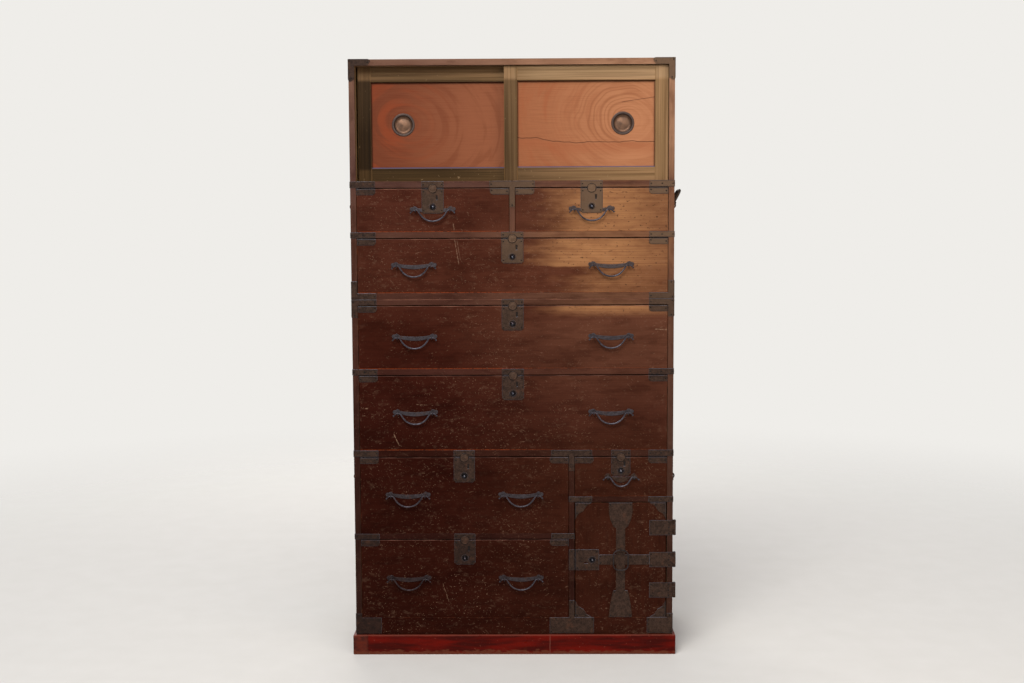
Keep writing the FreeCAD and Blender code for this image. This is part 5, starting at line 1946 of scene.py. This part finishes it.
@dataclass(frozen=True)
class SlidingDoor:
    """A framed sliding door with a panel and a round dished pull."""

    node: str
    panel_wood: PanelWood
    stile: float = 37.0
    head: float = 41.0
    foot: float = 37.0
    panel: float = 7.0
    recess: float = 7.0
    lap: float = 6.0
    foot_tongue: float = 3.5
    head_tongue: float = 6.7
    tongue: float = 8.0
    tongue_lap: float = 1.0
    rail_sunk: float = 0.15
    hole: float = 28.6
    dish_depth: float = 8.7
    dish: tuple[Span, ...] = ((0.0, 5.3), (5.0, 5.45), (10.0, 5.9), (15.0, 6.7), (18.6, 7.4), (20.4, 7.0),
                              (23.5, 3.0), (25.8, -0.9), (26.8, -1.4), (28.6, -1.1), (29.6, -1.3),
                              (31.4, -1.2), (32.5, 0.0), (27.2, 0.0), (26.6, 2.0), (21.4, 8.7), (0.0, 8.7))

    def build(self) -> None:
        """Build the frame, the panel and the pull."""
        low, high = limits(self.node)
        foot, head = low.z + self.foot_tongue, high.z - self.head_tongue
        left, right = low.x + self.stile, high.x - self.stile
        piece = Workpiece(self.node + "_frame", Finishes.frame_wood, Finishes.bare)
        for start, end in ((low.x, left), (right, high.x)):
            piece.block((start, low.y, foot), (end, high.y, head), LEVELS.eased, along=Way.UP)
        for bottom, top in ((foot, foot + self.foot), (head - self.head, head)):
            piece.block((left, low.y + self.rail_sunk, bottom), (right, high.y, top), LEVELS.eased,
                        along=Way.RIGHT)
        middle, half = (low.y + high.y) / 2, self.tongue / 2
        for bottom, top in ((low.z, foot + self.tongue_lap), (head - self.tongue_lap, high.z)):
            piece.block((low.x, middle - half, bottom), (high.x, middle + half, top))
        piece.hand_over(self.node, "door_cypress")
        self.build_panel(low, left, right, foot + self.foot, head - self.head)
        self.build_dish()

    def build_panel(self, low: Vector, left: float, right: float, bottom: float, top: float) -> None:
        """Build the panel, bored for the pull.

        Args:
            low: The door's lowest corner.
            left: The left edge of the frame's opening.
            right: The right edge of the frame's opening.
            bottom: The foot of the frame's opening.
            top: The head of the frame's opening.
        """
        centre = middle_of(self.node + "_pull")
        piece = Workpiece(self.node + "_panel", self.panel_wood)
        face = low.y + self.recess
        corners = [(left - self.lap, bottom - self.lap), (right + self.lap, bottom - self.lap),
                   (right + self.lap, top + self.lap), (left - self.lap, top + self.lap)]
        verts = [piece.bm.verts.new((x, face, z)) for x, z in corners]
        edges = [piece.bm.edges.new((verts[i - 1], verts[i])) for i in range(4)]
        form = Matrix.Translation((centre.x, face, centre.z)) @ Matrix.Rotation(math.radians(90), 4, "X")
        ring = bmesh.ops.create_circle(piece.bm, segments=40, radius=self.hole, matrix=form)["verts"]
        edges += edges_of(ring)
        filled = bmesh.ops.triangle_fill(piece.bm, edges=edges, use_beauty=True)["geom"]
        faces = [item for item in filled if isinstance(item, Face)]
        grown = bmesh.ops.extrude_face_region(piece.bm, geom=faces, use_keep_orig=True)["geom"]
        bmesh.ops.translate(piece.bm, verts=verts_in(grown), vec=(0, self.panel, 0))
        piece.settle(along=Way.RIGHT)
        piece.hand_over(self.node, "case_wood", self.node)

    def build_dish(self) -> None:
        """Build the round pull: rim, sloping wall and domed floor."""
        centre = middle_of(self.node + "_pull")
        centre.y = limits(self.node + "_pull")[1].y - self.dish_depth
        piece = Workpiece(self.node + "_dish", Finishes.dish)
        piece.lathe(centre, self.dish, Way.REAR, 64)
        piece.hand_over(self.node, "iron_dish", self.node + "_pull")


@dataclass(frozen=True)
class HingedDoor:
    """The small cupboard's door with its bands, hinges, lock and ring."""

    plate: float = 1.6
    eased: float = 1.0
    lock_width: float = 67.0
    lock_height: float = 60.0
    ring_width: float = 42.0
    ring_height: float = 58.0
    ring_corner: float = 16.5
    ring_bar: float = 4.6
    ring_share: float = 0.86
    standoff: float = 10.0
    slack: float = 1.0
    eye_below: float = 6.0
    corner_below: float = 50.0
    nail_inset: float = 6.0
    nail_gap: float = 16.0
    axis_inset: float = 4.16
    axis_depth: float = 4.5
    hinge_half: float = 21.5
    hinge_shares: tuple[float, ...] = (0.237, 0.504, 0.783)

    @classmethod
    def axis(cls, height: float) -> Vector:
        """Return the point of the hinges' axis at a height."""
        x = limits("hinged_door_iron")[1].x - cls.axis_inset
        return Vector((x, LEVELS.front - cls.plate + cls.axis_depth, height))

    @classmethod
    def hinges(cls) -> list[Span]:
        """Return the lowest and highest level of each hinge."""
        low, high = limits("hinged_door")
        middles = [low.z + (high.z - low.z) * share for share in cls.hinge_shares]
        return [(middle - cls.hinge_half, middle + cls.hinge_half) for middle in middles]

    def build(self) -> None:
        """Build the whole door."""
        low, high = limits("hinged_door")
        board = Workpiece("hinged_door_board", Finishes.drawer, Finishes.bare)
        board.block(low, high, self.eased, (Way.FRONT, Way.LEFT), Way.UP)
        board.hand_over("hinged_door", "red_lacquer", "hinged_door")
        self.build_iron(low)
        LockButton("hinged_door_button").build()
        self.build_ring()

    def build_iron(self, low: Vector) -> None:
        """Build the bands, straps, corners, lock plate and the ring's eye.

        Args:
            low: The door's lowest corner.
        """
        front = LEVELS.front
        face = front - self.plate
        piece = Workpiece("hinged_door_fittings", Finishes.plate, Finishes.nail, Finishes.glint)

        def is_eye_or_lock(first: Vector, last: Vector) -> bool:
            """Say whether a solid is the ring's eye or the lock inside the door."""
            return last.x - first.x < self.eye_below or first.y > front

        for plate in piece.forge("hinged_door_iron", is_eye_or_lock):
            beside_lock = plate.high.x - low.x > self.lock_width + self.slack
            corner = max(plate.high.z - plate.low.z, plate.high.x - plate.low.x) < self.corner_below
            if plate.way is Way.FRONT and (beside_lock or corner):
                for spot in nail_spots(plate):
                    spot.x = min(spot.x, self.axis(0).x - self.nail_gap)
                    piece.nail_head(spot, plate.way)
        button = middle_of("hinged_door_button")
        rise = self.lock_height / 2 - self.nail_inset
        piece.nail_corners((low.x + self.nail_inset, low.x + self.lock_width - self.nail_inset), face,
                           (button.z - rise, button.z + rise))
        Escutcheon().build(piece, Vector((button.x, face, button.z)))
        hang = hang_point("hinged_door_ring", self.ring_bar)
        hang.y = front - self.standoff
        RING_EYE.build(piece, hang, Way.FRONT, self.standoff - self.plate)
        piece.hand_over("hinged_door", "iron_plate", "hinged_door_iron")

    def build_ring(self) -> None:
        """Build the tall ring pull."""
        half, foot = self.ring_width / 2, -self.ring_height
        points = [at(0, 0), at(half, 0), at(half, foot), at(-half, foot), at(-half, 0), at(0, 0)]
        path = rounded(points, [self.ring_corner] * 4)[:-1]
        radii = [self.ring_bar / 2 * self.ring_share] * len(path)
        piece = Workpiece("hinged_door_ring_pull", Finishes.ring)
        hang = Matrix.Translation(hang_point("hinged_door_ring", self.ring_bar))
        piece.sweep(path, radii, 12, hang, closed=True)
        piece.hand_over("hinged_door_ring", "iron_bail", "hinged_door_ring")


@dataclass(frozen=True)
class Lamp:
    """A square soft light, with its place, what it faces, its sides' length and its power in watts."""

    name: str
    place: tuple[float, float, float]
    target: tuple[float, float, float]
    size: float
    power: float
    colour: Colour

    def build(self) -> None:
        """Hang the light."""
        data = bpy.data.lights.new(self.name, "AREA")
        data.shape, data.size = "SQUARE", self.size / METRE
        data.energy, data.color = self.power, self.colour[:3]
        light = put_in_scene(self.name, data)
        light.location = Vector(self.place) / METRE
        light.rotation_euler = (Vector(self.target) - Vector(self.place)).to_track_quat("-Z", "Y").to_euler()


@dataclass(frozen=True)
class Studio:
    """The pale floor, the soft lights and the camera at the photograph's place."""

    camera: tuple[float, float, float] = (34.6, -3800.0, 1191.1)
    yaw: float = 0.588
    pitch: float = 4.600
    roll: float = -0.274
    focal: float = 1273.3
    sensor: float = 36.0
    sun_power: float = 1.5
    sun_spread: float = 60.0
    sun_tilt: float = 38.0
    sun_turn: float = -14.0
    floor_radius: float = 4700.0
    backdrop: Colour = paint(239, 237, 233)
    daylight: Colour = paint(236, 238, 244)
    daylight_strength: float = 0.22
    lamps: tuple[Lamp, ...] = (
        Lamp("key_light", (-900, -3300, 3900), (0, 0, 800), 1800, 120, paint(255, 253, 248)),
        Lamp("fill_light", (2500, -2700, 1900), (0, 0, 1000), 2000, 34, paint(255, 240, 222)),
        Lamp("sky_light", (0, -100, 4200), (0, 0, 0), 3400, 26, paint(214, 228, 255)),
        Lamp("rear_light", (-600, 3600, 2800), (0, 0, 800), 2600, 90, paint(255, 250, 244)),
    )

    def build(self) -> None:
        """Build the surroundings."""
        self.build_floor()
        self.build_world()
        for lamp in self.lamps:
            lamp.build()
        self.add_sun()
        self.build_camera()

    def build_floor(self) -> None:
        """Build the floor."""
        bm = bmesh.new()
        bmesh.ops.create_circle(bm, cap_ends=True, segments=96, radius=self.floor_radius / METRE)
        mesh = bpy.data.meshes.new("studio_floor")
        bm.to_mesh(mesh)
        bm.free()
        mesh.materials.append(Finishes.of(Finishes.floor))
        put_in_scene("studio_floor", mesh)

    def build_world(self) -> None:
        """Build a pale surrounding that lights the chest softly."""
        world = bpy.data.worlds.new("studio")
        world.use_nodes = True
        nodes, links = world.node_tree.nodes, world.node_tree.links
        seen, lit = nodes["Background"], nodes.new("ShaderNodeBackground")
        lights = ((seen, self.backdrop, 1.0), (lit, self.daylight, self.daylight_strength))
        for node, colour, strength in lights:
            node.inputs["Color"].default_value = colour
            node.inputs["Strength"].default_value = strength
        path, mix = nodes.new("ShaderNodeLightPath"), nodes.new("ShaderNodeMixShader")
        links.new(path.outputs["Is Camera Ray"], mix.inputs[0])
        links.new(lit.outputs[0], mix.inputs[1])
        links.new(seen.outputs[0], mix.inputs[2])
        links.new(mix.outputs[0], nodes["World Output"].inputs["Surface"])
        bpy.context.scene.world = world
        bpy.context.scene.view_settings.view_transform = "Standard"

    def add_sun(self) -> None:
        """Add the hazy daylight that reaches the whole floor."""
        data = bpy.data.lights.new("hazy_sun", "SUN")
        data.energy, data.angle = self.sun_power, math.radians(self.sun_spread)
        sun = put_in_scene("hazy_sun", data)
        sun.rotation_euler = (math.radians(self.sun_tilt), 0.0, math.radians(self.sun_turn))

    def build_camera(self) -> None:
        """Build the camera."""
        data = bpy.data.cameras.new("photo_camera")
        data.sensor_width = self.sensor
        data.lens = self.focal / PHOTO_WIDTH * self.sensor
        camera = put_in_scene("photo_camera", data)
        place = Matrix.Translation(Vector(self.camera) / METRE)
        for angle, axis in ((self.yaw, "Z"), (90 - self.pitch, "X"), (self.roll, "Z")):
            place = place @ Matrix.Rotation(math.radians(angle), 4, axis)
        camera.matrix_world = place
        bpy.context.scene.camera = camera


WIDE_PULL = Pull(span=97.0, drop=31.0, style=PullStyle.MOUSTACHE)
SAFE_PULL = Pull(span=74.0, drop=26.5, style=PullStyle.HALF_MOON)
ONE, TWO = ("_pull",), ("_pull_left", "_pull_right")
DRAWERS = (
    Drawer("small_drawer_left", 62.0, 69.0, ONE, WIDE_PULL),
    Drawer("small_drawer_right", 62.0, 69.0, ONE, WIDE_PULL),
    *(Drawer(f"wide_drawer_{number}", 62.0, 69.0, TWO, WIDE_PULL) for number in (1, 2, 3)),
    *(Drawer(f"left_drawer_{number}", 60.0, 71.0, TWO, WIDE_PULL) for number in (4, 5)),
    Drawer("safe_drawer", 54.0, 53.0, ONE, SAFE_PULL),
)
GRIPS = (
    Grip(node="upper_handle_left"),
    Grip(node="upper_handle_right", raised=152.0),
    Grip(node="lower_handle_left"),
    Grip(node="lower_handle_right"),
)


def main() -> None:
    """Build the chest piece by piece."""
    logging.basicConfig(level=logging.INFO, format="%(name)s: %(message)s")
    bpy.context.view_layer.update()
    Plinth().build()
    Casework().build()
    CaseIron().build()
    for drawer in DRAWERS:
        drawer.build()
    SlidingDoor("sliding_door_left", Finishes.panel_left).build()
    SlidingDoor("sliding_door_right", Finishes.panel_right).build()
    HingedDoor().build()
    for grip in GRIPS:
        grip.build()
    Studio().build()
    bpy.context.view_layer.update()


if __name__ == "__main__":
    main()
